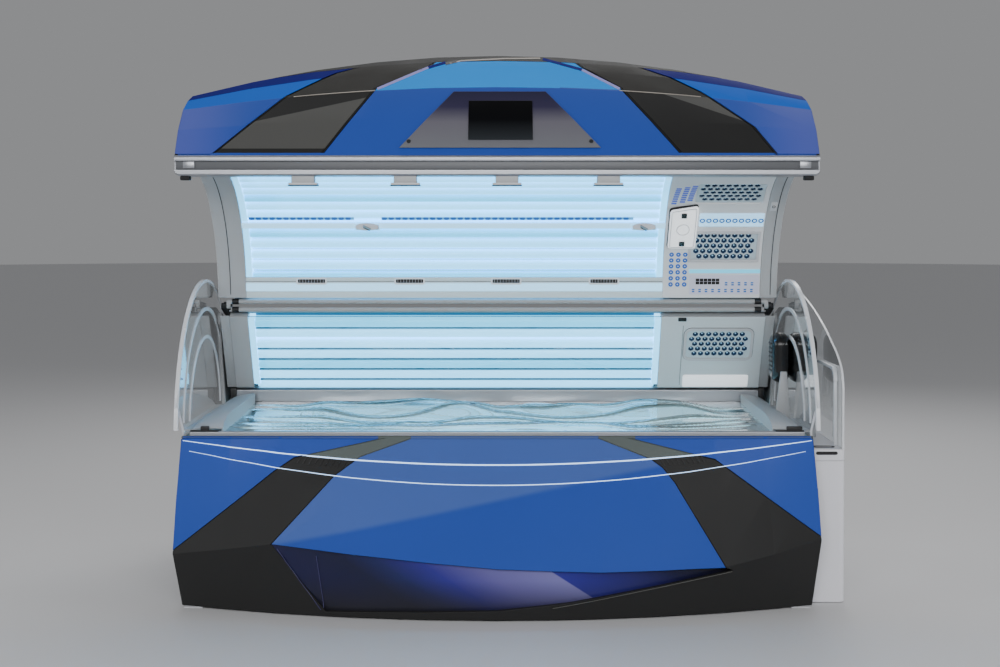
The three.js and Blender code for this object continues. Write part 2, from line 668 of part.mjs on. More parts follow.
const grilleX = (fieldRight + headUnitRight) / 2 + 44;
const rearGrilleDepth = 14; // the plate's front below the panel's face
const rearGrille = new THREE.Group();
const [rearGrilleY, rearGrilleZ] = rearPoint(slopeLength * 0.62, rearGrilleDepth + grilleWall);
rearGrille.position.set(grilleX, rearGrilleY, rearGrilleZ);
rearGrille.rotation.x = Math.atan2(up.y, up.x);
base.add(rearGrille);

const rearPanel = joined([
  rearReflector,
  cornerBlock(-rearPanelHalf, fieldLeft - seatGap),
  cornerBlock(fieldRight + seatGap, rearPanelHalf),
]).subtract(placed(grillePocket(rearGrilleDepth * 3), rearGrille));
add(base, 'rear_panel', rearPanel, paleGrey);
const grilleFace = plastic(0x9fc4dc, 0.35);
add(rearGrille, 'honeycomb_rear', honeycomb(), grilleFace);

add(base, 'rear_acrylic', rearSlab(fieldLeft, fieldRight, 0, slopeLength, 0, acrylicWall), clear());
const rearLampDepth = lampDepth / 2 + 3;
const rearLampCount = Math.floor((slopeLength - 2 * lampRadius - 8) / lampPitch) + 1;
const rearLampStart = (slopeLength - (rearLampCount - 1) * lampPitch) / 2;
const rearLamps = [];
for (let i = 0; i < rearLampCount; i += 1) {
  const [y, z] = rearPoint(rearLampStart + i * lampPitch, rearLampDepth);
  rearLamps.push(rod('x', lampRadius, lampSides, fieldLeft + 5, fieldRight - 5, y, z));
}
[fieldLeft, fieldRight - holderWidth].forEach((x) => {
  rearLamps.push(rearSlab(x, x + holderWidth, 12, slopeLength - 12, acrylicWall + seatGap, lampDepth));
});
add(base, 'rear_lamps', joined(rearLamps), lampGlass);

// Hinge: a rail on each half with a stub pin at each end, carried by brackets on the rear posts
const bracketWall = 12;
const bracketInner = frameHalf + tube / 2 + seatGap;
const earOuter = bracketInner - seatGap;
const earInner = earOuter - earWidth;
const lowerRailZ = hingeZ - hingeRailOffset;
const upperRailZ = hingeZ + hingeRailOffset;
const lowerRail = rod('x', hingeRailRadius, 16, -earInner + 1, earInner - 1, hingeY, lowerRailZ);
add(base, 'base_hinge_rail', lowerRail, silver);

const armOutline = [
  [rearPostY + 5, rearPostTop - 150], [rearPostY + tube - 2, rearPostTop - 150],
  [rearPostY + tube - 2, rearPostTop - 40], [rearPostY - 20, rearPostTop - 15],
  [hingeY + 8, hingeZ + 9], [hingeY - 8, hingeZ - 9], [rearPostY - 30, rearPostTop - 75],
];
const pinHead = 10;
Object.entries(ends).forEach(([side, sign]) => {
  const span = (near, far) => [near * sign, far * sign].sort((a, b) => a - b);
  const bracketOuter = bracketInner + bracketWall;
  const bracket = joined([
    prism('x', armOutline, ...span(bracketInner, bracketOuter)),
    rod('x', earRadius + 2, 16, ...span(bracketInner, bracketOuter), hingeY, hingeZ),
    rod('x', pinRadius, 12, ...span(earInner - 6, bracketOuter), hingeY, hingeZ),
    rod('x', earRadius - 2, 12, ...span(bracketOuter - 1, bracketOuter + pinHead), hingeY, hingeZ),
  ]);
  add(base, `hinge_bracket_${side}`, bracket, sheetMetal(0x55585c));
});

// Back cover with a guarded fan opening, the fan's rotor and the ballast box on the floor rails
const coverWall = 8;
const coverHalf = endPanelInner - seatGap;
const coverLip = rearPanelHead.x + 104;
const coverTop = humpTop + 14;
const coverShoulder = [
  [bodyDepth, floorGap + 12], [bodyDepth, humpTop - 210], [bodyDepth - 150, humpTop - 78],
  [coverLip, coverTop],
];
const coverInside = [
  [coverLip, coverTop - coverWall], [bodyDepth - 153, humpTop - 78 - coverWall],
  [bodyDepth - coverWall, humpTop - 214], [bodyDepth - coverWall, floorGap + 12],
];
const fanRadius = 150;
const fanX = 0;
const fanZ = 330;
const fanHub = 44;
const spokeWidth = 14;
const guardWall = 10;
const fanHole = rod('y', fanRadius, 24, bodyDepth - 2 * coverWall, bodyDepth + coverWall, fanX, fanZ);
const guardRadius = 90;
const guardWire = 8;
const guardSpan = [bodyDepth - guardWall, bodyDepth];
const guardRing = rod('y', guardRadius + guardWire / 2, 16, ...guardSpan, fanX, fanZ)
  .subtract(rod('y', guardRadius - guardWire / 2, 16, bodyDepth - 40, bodyDepth + 40, fanX, fanZ));
const spokeReach = fanRadius + 3;
const spokeHalf = spokeWidth / 2;
const spokes = [
  box(fanX - spokeReach, fanX + spokeReach, ...guardSpan, fanZ - spokeHalf, fanZ + spokeHalf),
  box(fanX - spokeHalf, fanX + spokeHalf, ...guardSpan, fanZ - spokeReach, fanZ + spokeReach),
];
const shaftRadius = 6;
const shaftSides = 10;
const boreRadius = (shaftRadius + seatGap) / Math.cos(Math.PI / shaftSides);
const motorDepth = 34;
const motor = rod('y', fanHub - 8, 16, bodyDepth - motorDepth, bodyDepth, fanX, fanZ);
const boreSpan = [bodyDepth - motorDepth - 1, bodyDepth - 6];
const shaftBore = rod('y', boreRadius, shaftSides, ...boreSpan, fanX, fanZ);
const rearCover = joined([
  prism('x', [...coverShoulder, ...coverInside], -coverHalf, coverHalf).subtract(fanHole),
  guardRing, ...spokes, motor,
]).subtract(shaftBore);
add(base, 'rear_cover', rearCover, charcoal);

const bladeCount = 5;
const bladePitch = radians(32);
const bladeDepth = 5;
const bladeChord = 58;
const bladeMiddle = (fanRadius + fanHub) / 2 - 8;
const rotorFront = bodyDepth - motorDepth - seatGap;
const rotorDepth = 32;
const blades = [];
for (let i = 0; i < bladeCount; i += 1) {
  const blade = new THREE.BoxGeometry(bladeChord, bladeDepth, fanRadius - fanHub);
  blade.rotateZ(bladePitch).translate(0, 0, bladeMiddle).rotateY(2 * Math.PI * i / bladeCount);
  blade.translate(fanX, rotorFront - rotorDepth / 2, fanZ);
  blades.push(solid(blade));
}
const rotor = joined([
  rod('y', fanHub, 16, rotorFront - rotorDepth, rotorFront, fanX, fanZ),
  rod('y', shaftRadius, shaftSides, rotorFront - rotorDepth / 2, bodyDepth - 10, fanX, fanZ),
  ...blades,
]);
add(base, 'fan_rotor', rotor, black);

const [ballastFront, ballastRear, ballastHeight] = [320, 720, 190];
const ballastHalf = innerPost + tube / 4;
const caseWall = 4;
const caseTop = railHigh + ballastHeight;
const ballast = box(-ballastHalf, ballastHalf, ballastFront, ballastRear, railHigh + seatGap, caseTop)
  .subtract(box(
    caseWall - ballastHalf, ballastHalf - caseWall, ballastFront + caseWall, ballastRear - caseWall,
    railHigh - caseWall, caseTop - caseWall,
  ));
add(base, 'ballast_box', ballast, sheetMetal(0xa9adb0));

// Canopy tray: the bent steel arch that carries the lamps, with flanges to both rails
const arc = (radius, from, to, steps) => arcPoints(tunnelY, tunnelZ, radius, from, to, steps);
const arcBand = (inner, outer, from, to, steps, x0, x1) => prism('x', [
  ...arc(inner, from, to, steps), ...arc(outer, to, from, steps),
], x0, x1);
const trayTop = trayRadius + 8;
const arcSteps = 16;
const arcGap = 0.8; // between bent pieces whose facets don't line up
const [trayFrontY, trayFrontZ] = arc(trayTop, arcFront, arcFront, 1)[0];
const [trayRearY, trayRearZ] = arc(trayTop, arcRear, arcRear, 1)[0];
const flangeSpan = [10 - earInner, earInner - 10];
const hingeFlangeTop = upperRailZ + 4;
const canopyTray = joined([
  arcBand(trayRadius, trayTop, arcRear, arcFront, arcSteps, -trayHalf, trayHalf),
  box(-trayHalf, trayHalf, railDepth + seatGap, trayFrontY, trayFrontZ - 6, trayFrontZ),
  box(...flangeSpan, flangeFront, trayRearY, hingeFlangeTop - flangeWall, hingeFlangeTop),
  box(...flangeSpan, trayRearY - 8, trayRearY, hingeFlangeTop - flangeWall, trayRearZ + 6),
]);
add(canopy, 'canopy_tray', canopyTray, sheetMetal(0xd4d8db));

const earLink = [
  [hingeY - earRadius, hingeZ], [hingeY + earRadius, hingeZ],
  [hingeY + hingeRailRadius, upperRailZ], [hingeY - hingeRailRadius, upperRailZ],
];
let upperRail = rod('x', hingeRailRadius, 16, -earOuter, earOuter, hingeY, upperRailZ);
Object.values(ends).forEach((sign) => {
  const [from, to] = [earInner * sign, earOuter * sign].sort((a, b) => a - b);
  upperRail = upperRail.add(prism('x', earLink, from, to))
    .add(rod('x', earRadius, 16, from, to, hingeY, hingeZ))
    .subtract(rod('x', pinRadius + seatGap, 12, from - 20, to + 20, hingeY, hingeZ));
});
add(canopy, 'canopy_hinge_rail', upperRail, silver);

// Inside of the tunnel: lamps, two clear sheets with a bar between, the vent strip and the end cheeks
const canopyLampRadius = trayRadius - lampRadius - 6;
const canopyLampStep = THREE.MathUtils.radToDeg(lampPitch * 1.08 / canopyLampRadius);
const canopyLampCount = Math.floor((arcFront - arcRear - 6) / canopyLampStep) + 1;
const canopyLampStart = (arcFront + arcRear - (canopyLampCount - 1) * canopyLampStep) / 2;
const canopyLamps = [];
for (let i = 0; i < canopyLampCount; i += 1) {
  const angle = canopyLampStart + i * canopyLampStep;
  const [y, z] = arc(canopyLampRadius, angle, angle, 1)[0];
  canopyLamps.push(rod('x', lampRadius, lampSides, fieldLeft + 5, fieldRight - 5, y, z));
}
const holderFront = tunnelRadius + acrylicWall + 2;
[fieldLeft, fieldRight - holderWidth].forEach((x) => {
  const holderSpan = [x, x + holderWidth];
  canopyLamps.push(
    arcBand(holderFront, trayRadius - arcGap, arcRear + 1, arcFront - 1, arcSteps, ...holderSpan));
});
add(canopy, 'canopy_lamps', joined(canopyLamps), lampGlass);

const barAngle = 37.4; // degrees, the bar with the air nozzles
const barSpread = 1.3;
const ventTop = 12.6;
const splitGap = 0.05; // degrees between neighbours along the arc
const sheetOuter = tunnelRadius + acrylicWall;
const nozzleRadius = 12;
const nozzleLength = 92;
const cradleWall = 3.5;
const nozzleStand = 8; // the nozzle's axis stands in front of the clear sheets by this much
const nozzlePlaces = { nozzle_left: fieldLeft + 509, nozzle_right: fieldRight - 85 };
const [nozzleY, nozzleZ] = arc(tunnelRadius - nozzleStand, barAngle, barAngle, 1)[0];
const nozzleRod = (x, radius, past) => rod(
  'x', radius, 16, x - nozzleLength / 2 - past, x + nozzleLength / 2 + past, nozzleY, nozzleZ,
);
const barInner = tunnelRadius - 6;
const mouthSpread = 6; // degrees, half the opening in front of a nozzle
const fieldSpan = [fieldLeft, fieldRight];
const barSpan = [barAngle - barSpread, barAngle + barSpread];
let centreBar = arcBand(barInner, holderFront - arcGap, ...barSpan, 3, ...fieldSpan);
let sheetUpper = arcBand(tunnelRadius, sheetOuter, barSpan[1] + splitGap, arcFront, 10, ...fieldSpan);
let sheetLower = arcBand(
  tunnelRadius, sheetOuter, ventTop + splitGap, barSpan[0] - splitGap, 8, ...fieldSpan,
);
Object.entries(nozzlePlaces).forEach(([name, x]) => {
  const cradleRadius = nozzleRadius + seatGap + cradleWall;
  const reach = nozzleLength / 2 + cradleWall + 1;
  const mouthSpan = [barAngle - mouthSpread, barAngle + mouthSpread];
  const mouth = arcBand(
    barInner - 40, tunnelRadius - nozzleStand - 4, ...mouthSpan, 3, x - reach, x + reach,
  );
  const cradle = nozzleRod(x, cradleRadius, cradleWall).subtract(mouth);
  centreBar = centreBar.subtract(mouth).add(cradle).subtract(nozzleRod(x, nozzleRadius + seatGap, seatGap));
  const notch = nozzleRod(x, cradleRadius + seatGap, cradleWall + seatGap);
  sheetUpper = sheetUpper.subtract(notch);
  sheetLower = sheetLower.subtract(notch);
  const slot = new THREE.BoxGeometry(nozzleLength - 14, 4 * nozzleRadius, nozzleRadius * 0.7);
  slot.rotateX(radians(barAngle)).translate(x, nozzleY, nozzleZ);
  add(canopy, name, nozzleRod(x, nozzleRadius, 0).subtract(solid(slot)), silver);
});
add(canopy, 'centre_bar', centreBar, paleGrey);
add(canopy, 'canopy_acrylic_upper', sheetUpper, clear());
add(canopy, 'canopy_acrylic_lower', sheetLower, clear());

const ventAngle = 11.2; // degrees, middle of the row of vent grilles
const ventShares = [0.157, 0.393, 0.625, 0.86]; // along the lamp field
const ventPlaces = ventShares.map((share) => fieldLeft + share * (fieldRight - fieldLeft));
const ventWidth = 115;
const ventSlots = 3;
let ventStrip = arcBand(tunnelRadius - 2, holderFront - arcGap, arcRear, ventTop, 5, ...fieldSpan);
ventPlaces.forEach((x) => {
  for (let i = 0; i < ventSlots; i += 1) {
    const left = x - ventWidth / 2 + i * ventWidth / ventSlots;
    const right = left + ventWidth / ventSlots - 5;
    ventStrip = ventStrip.subtract(
      arcBand(tunnelRadius - 20, holderFront + 4, ventAngle - 0.9, ventAngle + 0.9, 1, left, right));
  }
});
add(canopy, 'vent_strip', ventStrip, paleGrey);

const cheekInner = tunnelRadius - 2;
const cheekOuter = trayRadius - seatGap;
const cheek = (from, to) => arcBand(cheekInner, cheekOuter, arcRear, arcFront, arcSteps, from, to);
add(canopy, 'canopy_cheek_left', cheek(-trayHalf, fieldLeft - seatGap), paleGrey);
add(canopy, 'canopy_cheek_right', cheek(headUnitRight + seatGap, trayHalf), paleGrey);

// Head unit: the panel over the face, with two honeycomb grilles and the control panel
const arcFrame = (x, radius, angle) => {
  const frame = new THREE.Group();
  const [y, z] = arc(radius, angle, angle, 1)[0];
  frame.position.set(x, y, z);
  frame.rotation.x = radians(angle) + Math.PI / 2;
  canopy.add(frame);
  return frame;
};
const grilleSag = grilleHeight ** 2 / (8 * tunnelRadius);
const grilleSeat = cheekInner + grilleSag + 4 + grilleWall;
const grilleAngles = { honeycomb_upper: 57.5, honeycomb_lower: 27 };
let headUnit = cheek(fieldRight + seatGap, headUnitRight);
Object.entries(grilleAngles).forEach(([name, angle]) => {
  const frame = arcFrame(grilleX, grilleSeat, angle);
  headUnit = headUnit.subtract(placed(grillePocket(40), frame));
  add(frame, name, honeycomb(), grilleFace);
});
add(canopy, 'head_unit', headUnit, paleGrey);

const panelWidth = 112;
const panelHeight = 190;
const panelWall = 16;
const panelSag = panelHeight ** 2 / (8 * cheekInner);
const panelAngle = 37;
const panelX = fieldRight + panelWidth / 2 + 14;
const touchFrame = arcFrame(panelX, cheekInner - panelSag - 2 * seatGap, panelAngle);
const keySide = 22;
const keyTravel = 1.5;
const keyProud = 3;
const keyDepth = 6;
const keyReach = panelHeight / 2 - 24;
const keySquare = (side, y) => roundedRectangle(side, side, 3).map(([a, b]) => [a, b + y]);
let touchPanel = prism('z', roundedRectangle(panelWidth, panelHeight, 12), 0, panelWall);
const keyFloor = panelWall - keyDepth;
const keyHigh = panelWall + keyProud;
Object.entries({ key_upper: keyReach, key_lower: -keyReach }).forEach(([name, y]) => {
  touchPanel = touchPanel.subtract(prism('z', keySquare(keySide + 2 * seatGap, y), keyFloor, keyHigh));
  add(touchFrame, name, prism('z', keySquare(keySide, y), keyFloor + keyTravel + seatGap, keyHigh), black);
});
add(touchFrame, 'touch_panel', touchPanel, plastic(0xe8ebee, 0.25));

// Canopy shell: a crowned hood lofted from end to end, hollow and open towards the tray
const shellStations = 10;
const lip = railTop + seatGap;
const hoodFoot = hingeZ + 28;
const onHood = (depth, rise) => ({ y: depth * hoodDepth, z: lip + rise * hoodRise });
const behindTray = (depth, rise) => ({ y: depth * hoodDepth, z: hoodFoot + rise * (lip - hoodFoot) });
const shellKeys = [
  { y: lipSetback, z: lip, drop: 0, pull: 0, half: canopyHalf - 2 },
  { ...onHood(0.111, 0.349), drop: 0.28, pull: -12, half: canopyHalf },
  { ...onHood(0.236, 0.648), drop: 0.53, pull: -26, half: canopyHalf },
  { ...onHood(0.389, 0.856), drop: 0.8, pull: -66, half: canopyHalf },
  { ...onHood(0.554, 1), drop: 1, pull: -110, half: canopyHalf },
  { ...onHood(0.731, 0.9), drop: 0.95, pull: -90, half: canopyHalf - 4 },
  { ...onHood(0.896, 0.516), drop: 0.65, pull: -40, half: canopyHalf - 14 },
  { ...behindTray(0.988, 0.992), drop: 0.3, pull: 0, half: trayHalf + 16 },
  { ...behindTray(1, 0.588), drop: 0.1, pull: 0, half: trayHalf + 4 },
  { ...behindTray(0.943, 0.2), drop: 0, pull: 0, half: trayHalf },
  { ...behindTray(0.826, 0), drop: 0, pull: 0, half: trayHalf },
];
const crestIndex = 4;

// The hood's outline in the YZ plane at one station, moved inwards by a depth.
function hoodOutline(s, depth, keys) {
  const points = keys.map(
    (key) => new THREE.Vector2(key.y + key.pull * s * s, key.z - crownDrop * key.drop * s * s));
  const normals = points.slice(1).map((point, i) => {
    const along = point.clone().sub(points[i]).normalize();
    return new THREE.Vector2(along.y, -along.x);
  });
  return points.map((point, i) => {
    const before = normals[Math.max(i - 1, 0)];
    const after = normals[Math.min(i, normals.length - 1)];
    const mitre = before.clone().add(after).divideScalar(1 + before.dot(after));
    return point.clone().addScaledVector(mitre, depth);
  });
}

const hoodLoft = (ringAt, past = 0) => loft(pastEnds(evenStations(shellStations), past).map(ringAt));

const spread = (s, halves, points) => points.map(
  (point, i) => new THREE.Vector3(s * halves[i], point.x, point.y));
const innerSteps = 8;
const innerStep = radians((arcFront - arcRear - 1) / innerSteps);
const trayClear = (trayTop + seatGap) / Math.cos(innerStep / 2);
const hoodInside = arc(trayClear, arcRear + 1, arcFront, innerSteps)
  .map(([y, z]) => new THREE.Vector2(y, z));
const hoodFloor = new THREE.Vector2(trayFrontY + 2, lip);
const hoodHalves = [
  ...shellKeys.map((key) => key.half), ...hoodInside.map(() => trayHalf - seatGap), canopyHalf - 2,
];
const hood = hoodLoft((s) => spread(s, hoodHalves, [
  ...hoodOutline(s, 0, shellKeys), ...hoodInside, hoodFloor,
]));

const cavityHalf = trayHalf - 14;
const cavityInside = arc(trayClear - 12, arcRear + 3, arcFront - 5, innerSteps)
  .map(([y, z]) => new THREE.Vector2(y, z));
const cavityKeys = shellKeys.slice(1);
const cavityFloor = [
  new THREE.Vector2(trayFrontY + 20, lip + shellWall), new THREE.Vector2(40, lip + shellWall),
];
const cavity = hoodLoft((s) => {
  const roof = hoodOutline(s * cavityHalf / canopyHalf, shellWall, cavityKeys);
  const ring = [...roof, ...cavityInside, ...cavityFloor];
  return spread(s, ring.map(() => cavityHalf), ring);
});

const hoodSlab = (from, to, past = 0) => hoodLoft((s) => {
  const keys = shellKeys.slice(0, crestIndex + 2);
  const ring = [...hoodOutline(s, from, keys), ...hoodOutline(s, to, keys).reverse()];
  const halves = keys.map((key) => key.half);
  return spread(s, [...halves, ...[...halves].reverse()], ring);
}, past);
const crestY = shellKeys[crestIndex].y;
const hoodCut = (outline) => prism('y', outline, -60, crestY - 60);
const footShare = 0.014; // dark band under the coloured panels
const clearShare = 1.23; // above the crest
const pastShare = 1 + 30 / canopyHalf;

// The panels' corners, as shares of the half length and of the hood's rise.
const hoodMarks = (marks) => marks.map(([x, z]) => [x * canopyHalf, lip + z * hoodRise]);
const hoodPanels = {
  canopy_centre_panel: hoodMarks([
    [-0.538, footShare], [0.567, footShare], [0.3905, 0.641], [0.277, 0.856],
    [0.142, clearShare], [-0.108, clearShare], [-0.2236, 0.856], [-0.3835, 0.641],
  ]),
  canopy_insert_left: hoodMarks([
    [-0.876, footShare], [-0.548, footShare], [-0.3935, 0.641], [-0.2336, 0.856],
    [-0.118, clearShare], [-0.3, clearShare], [-0.44, 0.888], [-0.522, 0.812], [-0.664, 0.571],
  ]),
  canopy_insert_right: hoodMarks([
    [0.577, footShare], [0.859, footShare], [0.798, 0.267], [0.644, 0.612], [0.558, 0.758],
    [0.464, 0.875], [0.27, clearShare], [0.152, clearShare], [0.287, 0.856], [0.4005, 0.641],
  ]),
  canopy_wing_left: hoodMarks([
    [-pastShare, footShare], [-0.885, footShare], [-0.674, 0.571], [-0.532, 0.812],
    [-0.45, 0.888], [-0.31, clearShare], [-pastShare, clearShare],
  ]),
  canopy_wing_right: hoodMarks([
    [0.869, footShare], [pastShare, footShare], [pastShare, clearShare], [0.28, clearShare],
    [0.474, 0.875], [0.568, 0.758], [0.654, 0.612], [0.808, 0.267],
  ]),
};
const hoodPocket = hoodSlab(-20, shellSkin + seatGap, endRun);
const hoodSkin = hoodSlab(0, shellSkin);
let shell = hood.subtract(cavity);
Object.entries(hoodPanels).forEach(([name, outline]) => {
  shell = shell.subtract(hoodPocket.intersect(hoodCut(outset(outline, reveal))));
  const insert = name.includes('insert');
  add(canopy, name, hoodSkin.intersect(hoodCut(outline)), insert ? charcoal : blue);
});
add(canopy, 'canopy_shell', shell, charcoal);

// Display plate and screen, standing on the centre panel
const plateWall = 6;
const screenWall = 3;
const displayPlate = hoodMarks([[-0.304, 0.071], [0.322, 0.071], [0.154, 0.603], [-0.138, 0.603]]);
const displayScreen = hoodMarks([[-0.09, 0.143], [0.111, 0.143], [0.111, 0.512], [-0.09, 0.512]]);
const plate = hoodSlab(-plateWall - seatGap, -seatGap).intersect(hoodCut(displayPlate));
add(canopy, 'display_plate', plate, sheetMetal(0xa8a9b4));
const plateFace = -plateWall - 2 * seatGap;
const screen = hoodSlab(plateFace - screenWall, plateFace).intersect(hoodCut(displayScreen));
add(canopy, 'display_screen', screen, plastic(0x07070a, 0.1));

// Front rail of the canopy: an extrusion with a dark groove along its face and a lip under the sheets
const grooveTop = railTop - 20;
const grooveBottom = railBottom + 22;
const grooveDepth = 10;
const lipWall = 8;
const [sheetEdgeY] = arc(cheekInner, arcFront, arcFront, 1)[0];
const lipRear = sheetEdgeY - 1;
const canopyRail = [
  [6, railTop], [0, railTop - 6], [0, grooveTop], [grooveDepth, grooveTop],
  [grooveDepth, grooveBottom], [0, grooveBottom], [0, railBottom + 6], [6, railBottom],
  [lipRear, railBottom], [lipRear, railBottom + lipWall], [railDepth, railBottom + lipWall],
  [railDepth, railTop],
];
add(canopy, 'canopy_front_rail', prism('x', canopyRail, 2 - canopyHalf, canopyHalf - 2), silver);

// The origin is the middle of the footprint on the floor
const [leftEdge, rightEdge] = [-canopyHalf, sideBoxOuter];
const [frontEdge, backEdge] = [-endBelly - bellyBow, bodyDepth];
bed.position.set(-(leftEdge + rightEdge) / 2, -(frontEdge + backEdge) / 2, 0);

export default bed;
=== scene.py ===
"""Looks of a clamshell tanning bed: finishes, trim and lit parts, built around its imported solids."""

import json
import math

import bmesh
import bpy
from mathutils import Matrix, Vector
from mathutils.bvhtree import BVHTree


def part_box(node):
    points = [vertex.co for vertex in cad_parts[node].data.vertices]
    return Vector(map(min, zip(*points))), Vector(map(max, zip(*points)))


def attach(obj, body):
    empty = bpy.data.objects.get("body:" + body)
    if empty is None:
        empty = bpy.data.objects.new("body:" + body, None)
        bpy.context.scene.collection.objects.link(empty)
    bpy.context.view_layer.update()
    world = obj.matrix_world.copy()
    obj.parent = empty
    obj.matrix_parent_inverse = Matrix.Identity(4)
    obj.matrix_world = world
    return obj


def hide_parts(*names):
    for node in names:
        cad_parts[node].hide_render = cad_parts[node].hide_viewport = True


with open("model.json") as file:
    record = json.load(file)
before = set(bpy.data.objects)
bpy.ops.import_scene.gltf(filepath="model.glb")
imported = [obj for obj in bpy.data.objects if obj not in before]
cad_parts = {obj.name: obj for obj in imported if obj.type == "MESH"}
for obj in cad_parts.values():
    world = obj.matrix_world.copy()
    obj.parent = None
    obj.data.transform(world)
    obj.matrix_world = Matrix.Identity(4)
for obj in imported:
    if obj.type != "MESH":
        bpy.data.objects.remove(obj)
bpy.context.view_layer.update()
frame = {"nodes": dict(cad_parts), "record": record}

# Studio: a wide pale floor under an even sky, soft boxes above and to the sides, and a camera that
# stands at eye height before the bench and looks slightly down.
floor_half = 40.0
floor_shape = bmesh.new()
bmesh.ops.create_circle(floor_shape, cap_ends=True, segments=64, radius=floor_half)
floor_mesh = bpy.data.meshes.new("studio_floor")
floor_shape.to_mesh(floor_mesh)
floor_shape.free()
floor = bpy.data.objects.new("studio_floor", floor_mesh)
bpy.context.scene.collection.objects.link(floor)
floor_paint = bpy.data.materials.new("studio_floor")
floor_paint.use_nodes = True
floor_shader = floor_paint.node_tree.nodes["Principled BSDF"]
floor_shader.inputs["Base Color"].default_value = (0.62, 0.62, 0.63, 1)
floor_shader.inputs["Roughness"].default_value = 0.55
floor_mesh.materials.append(floor_paint)

sky = bpy.data.worlds.new("studio_sky")
sky.use_nodes = True
sky.node_tree.nodes["Background"].inputs["Color"].default_value = (0.80, 0.81, 0.83, 1)
sky.node_tree.nodes["Background"].inputs["Strength"].default_value = 0.34
bpy.context.scene.world = sky


def soft_box(name, place, target, width, height, power):
    light = bpy.data.lights.new(name, "AREA")
    light.shape = "RECTANGLE"
    light.size = width
    light.size_y = height
    light.energy = power
    lamp = bpy.data.objects.new(name, light)
    lamp.location = place
    lamp.rotation_euler = (Vector(target) - Vector(place)).to_track_quat("-Z", "Y").to_euler()
    bpy.context.scene.collection.objects.link(lamp)


soft_box("top_box", (0.0, 1.5, 5.2), (0.0, 0.0, 1.6), 5.0, 2.0, 60)
soft_box("front_box", (0.0, -6.6, 2.9), (0.0, 0.0, 0.8), 6.0, 1.6, 230)
soft_box("left_box", (-5.4, -2.2, 2.4), (0.0, 0.0, 0.9), 2.0, 2.2, 70)
soft_box("right_box", (5.6, -1.8, 2.4), (0.2, 0.0, 0.9), 2.0, 2.2, 70)
soft_box("back_box", (1.0, 5.0, 4.2), (0.0, 0.3, 1.2), 4.0, 1.8, 110)

photo_width = 1000.0
photo_height = 667.0
horizon_row = 213.0
focal_pixels = 1528.0
sensor_width = 36.0
tilt = math.radians(1.0)
eye = Vector((-0.043, -6.135, 1.47))
camera_data = bpy.data.cameras.new("camera")
camera_data.sensor_width = sensor_width
camera_data.lens = focal_pixels * sensor_width / photo_width
axis_row = horizon_row + focal_pixels * math.tan(tilt)
camera_data.shift_y = (axis_row - photo_height / 2) / photo_width
camera = bpy.data.objects.new("camera", camera_data)
camera.location = eye
camera.rotation_euler = (math.radians(90) - tilt, 0, 0)
bpy.context.scene.collection.objects.link(camera)
bpy.context.scene.camera = camera

# Steel frame: square tubes welded into a ladder with posts and bearers, powder coated grey, standing
# on four screw feet with rubber pads.


def paint(red, green, blue):
    """A colour given as screen values from 0 to 255, as the shader wants it."""
    return tuple(((value / 255 + 0.055) / 1.055) ** 2.4 for value in (red, green, blue)) + (1,)


def effect_group(name, inputs, outputs):
    """An empty shader group with named sockets, and its input and output nodes."""
    group = bpy.data.node_groups.new(name, "ShaderNodeTree")
    for label, kind, value in inputs:
        socket = group.interface.new_socket(label, in_out="INPUT", socket_type=kind)
        socket.default_value = value
    for label, kind in outputs:
        group.interface.new_socket(label, in_out="OUTPUT", socket_type=kind)
    return group, group.nodes.new("NodeGroupInput"), group.nodes.new("NodeGroupOutput")


SKIN_OUTPUTS = [
    ("Colour", "NodeSocketColor"),
    ("Roughness", "NodeSocketFloat"),
    ("Normal", "NodeSocketVector"),
]


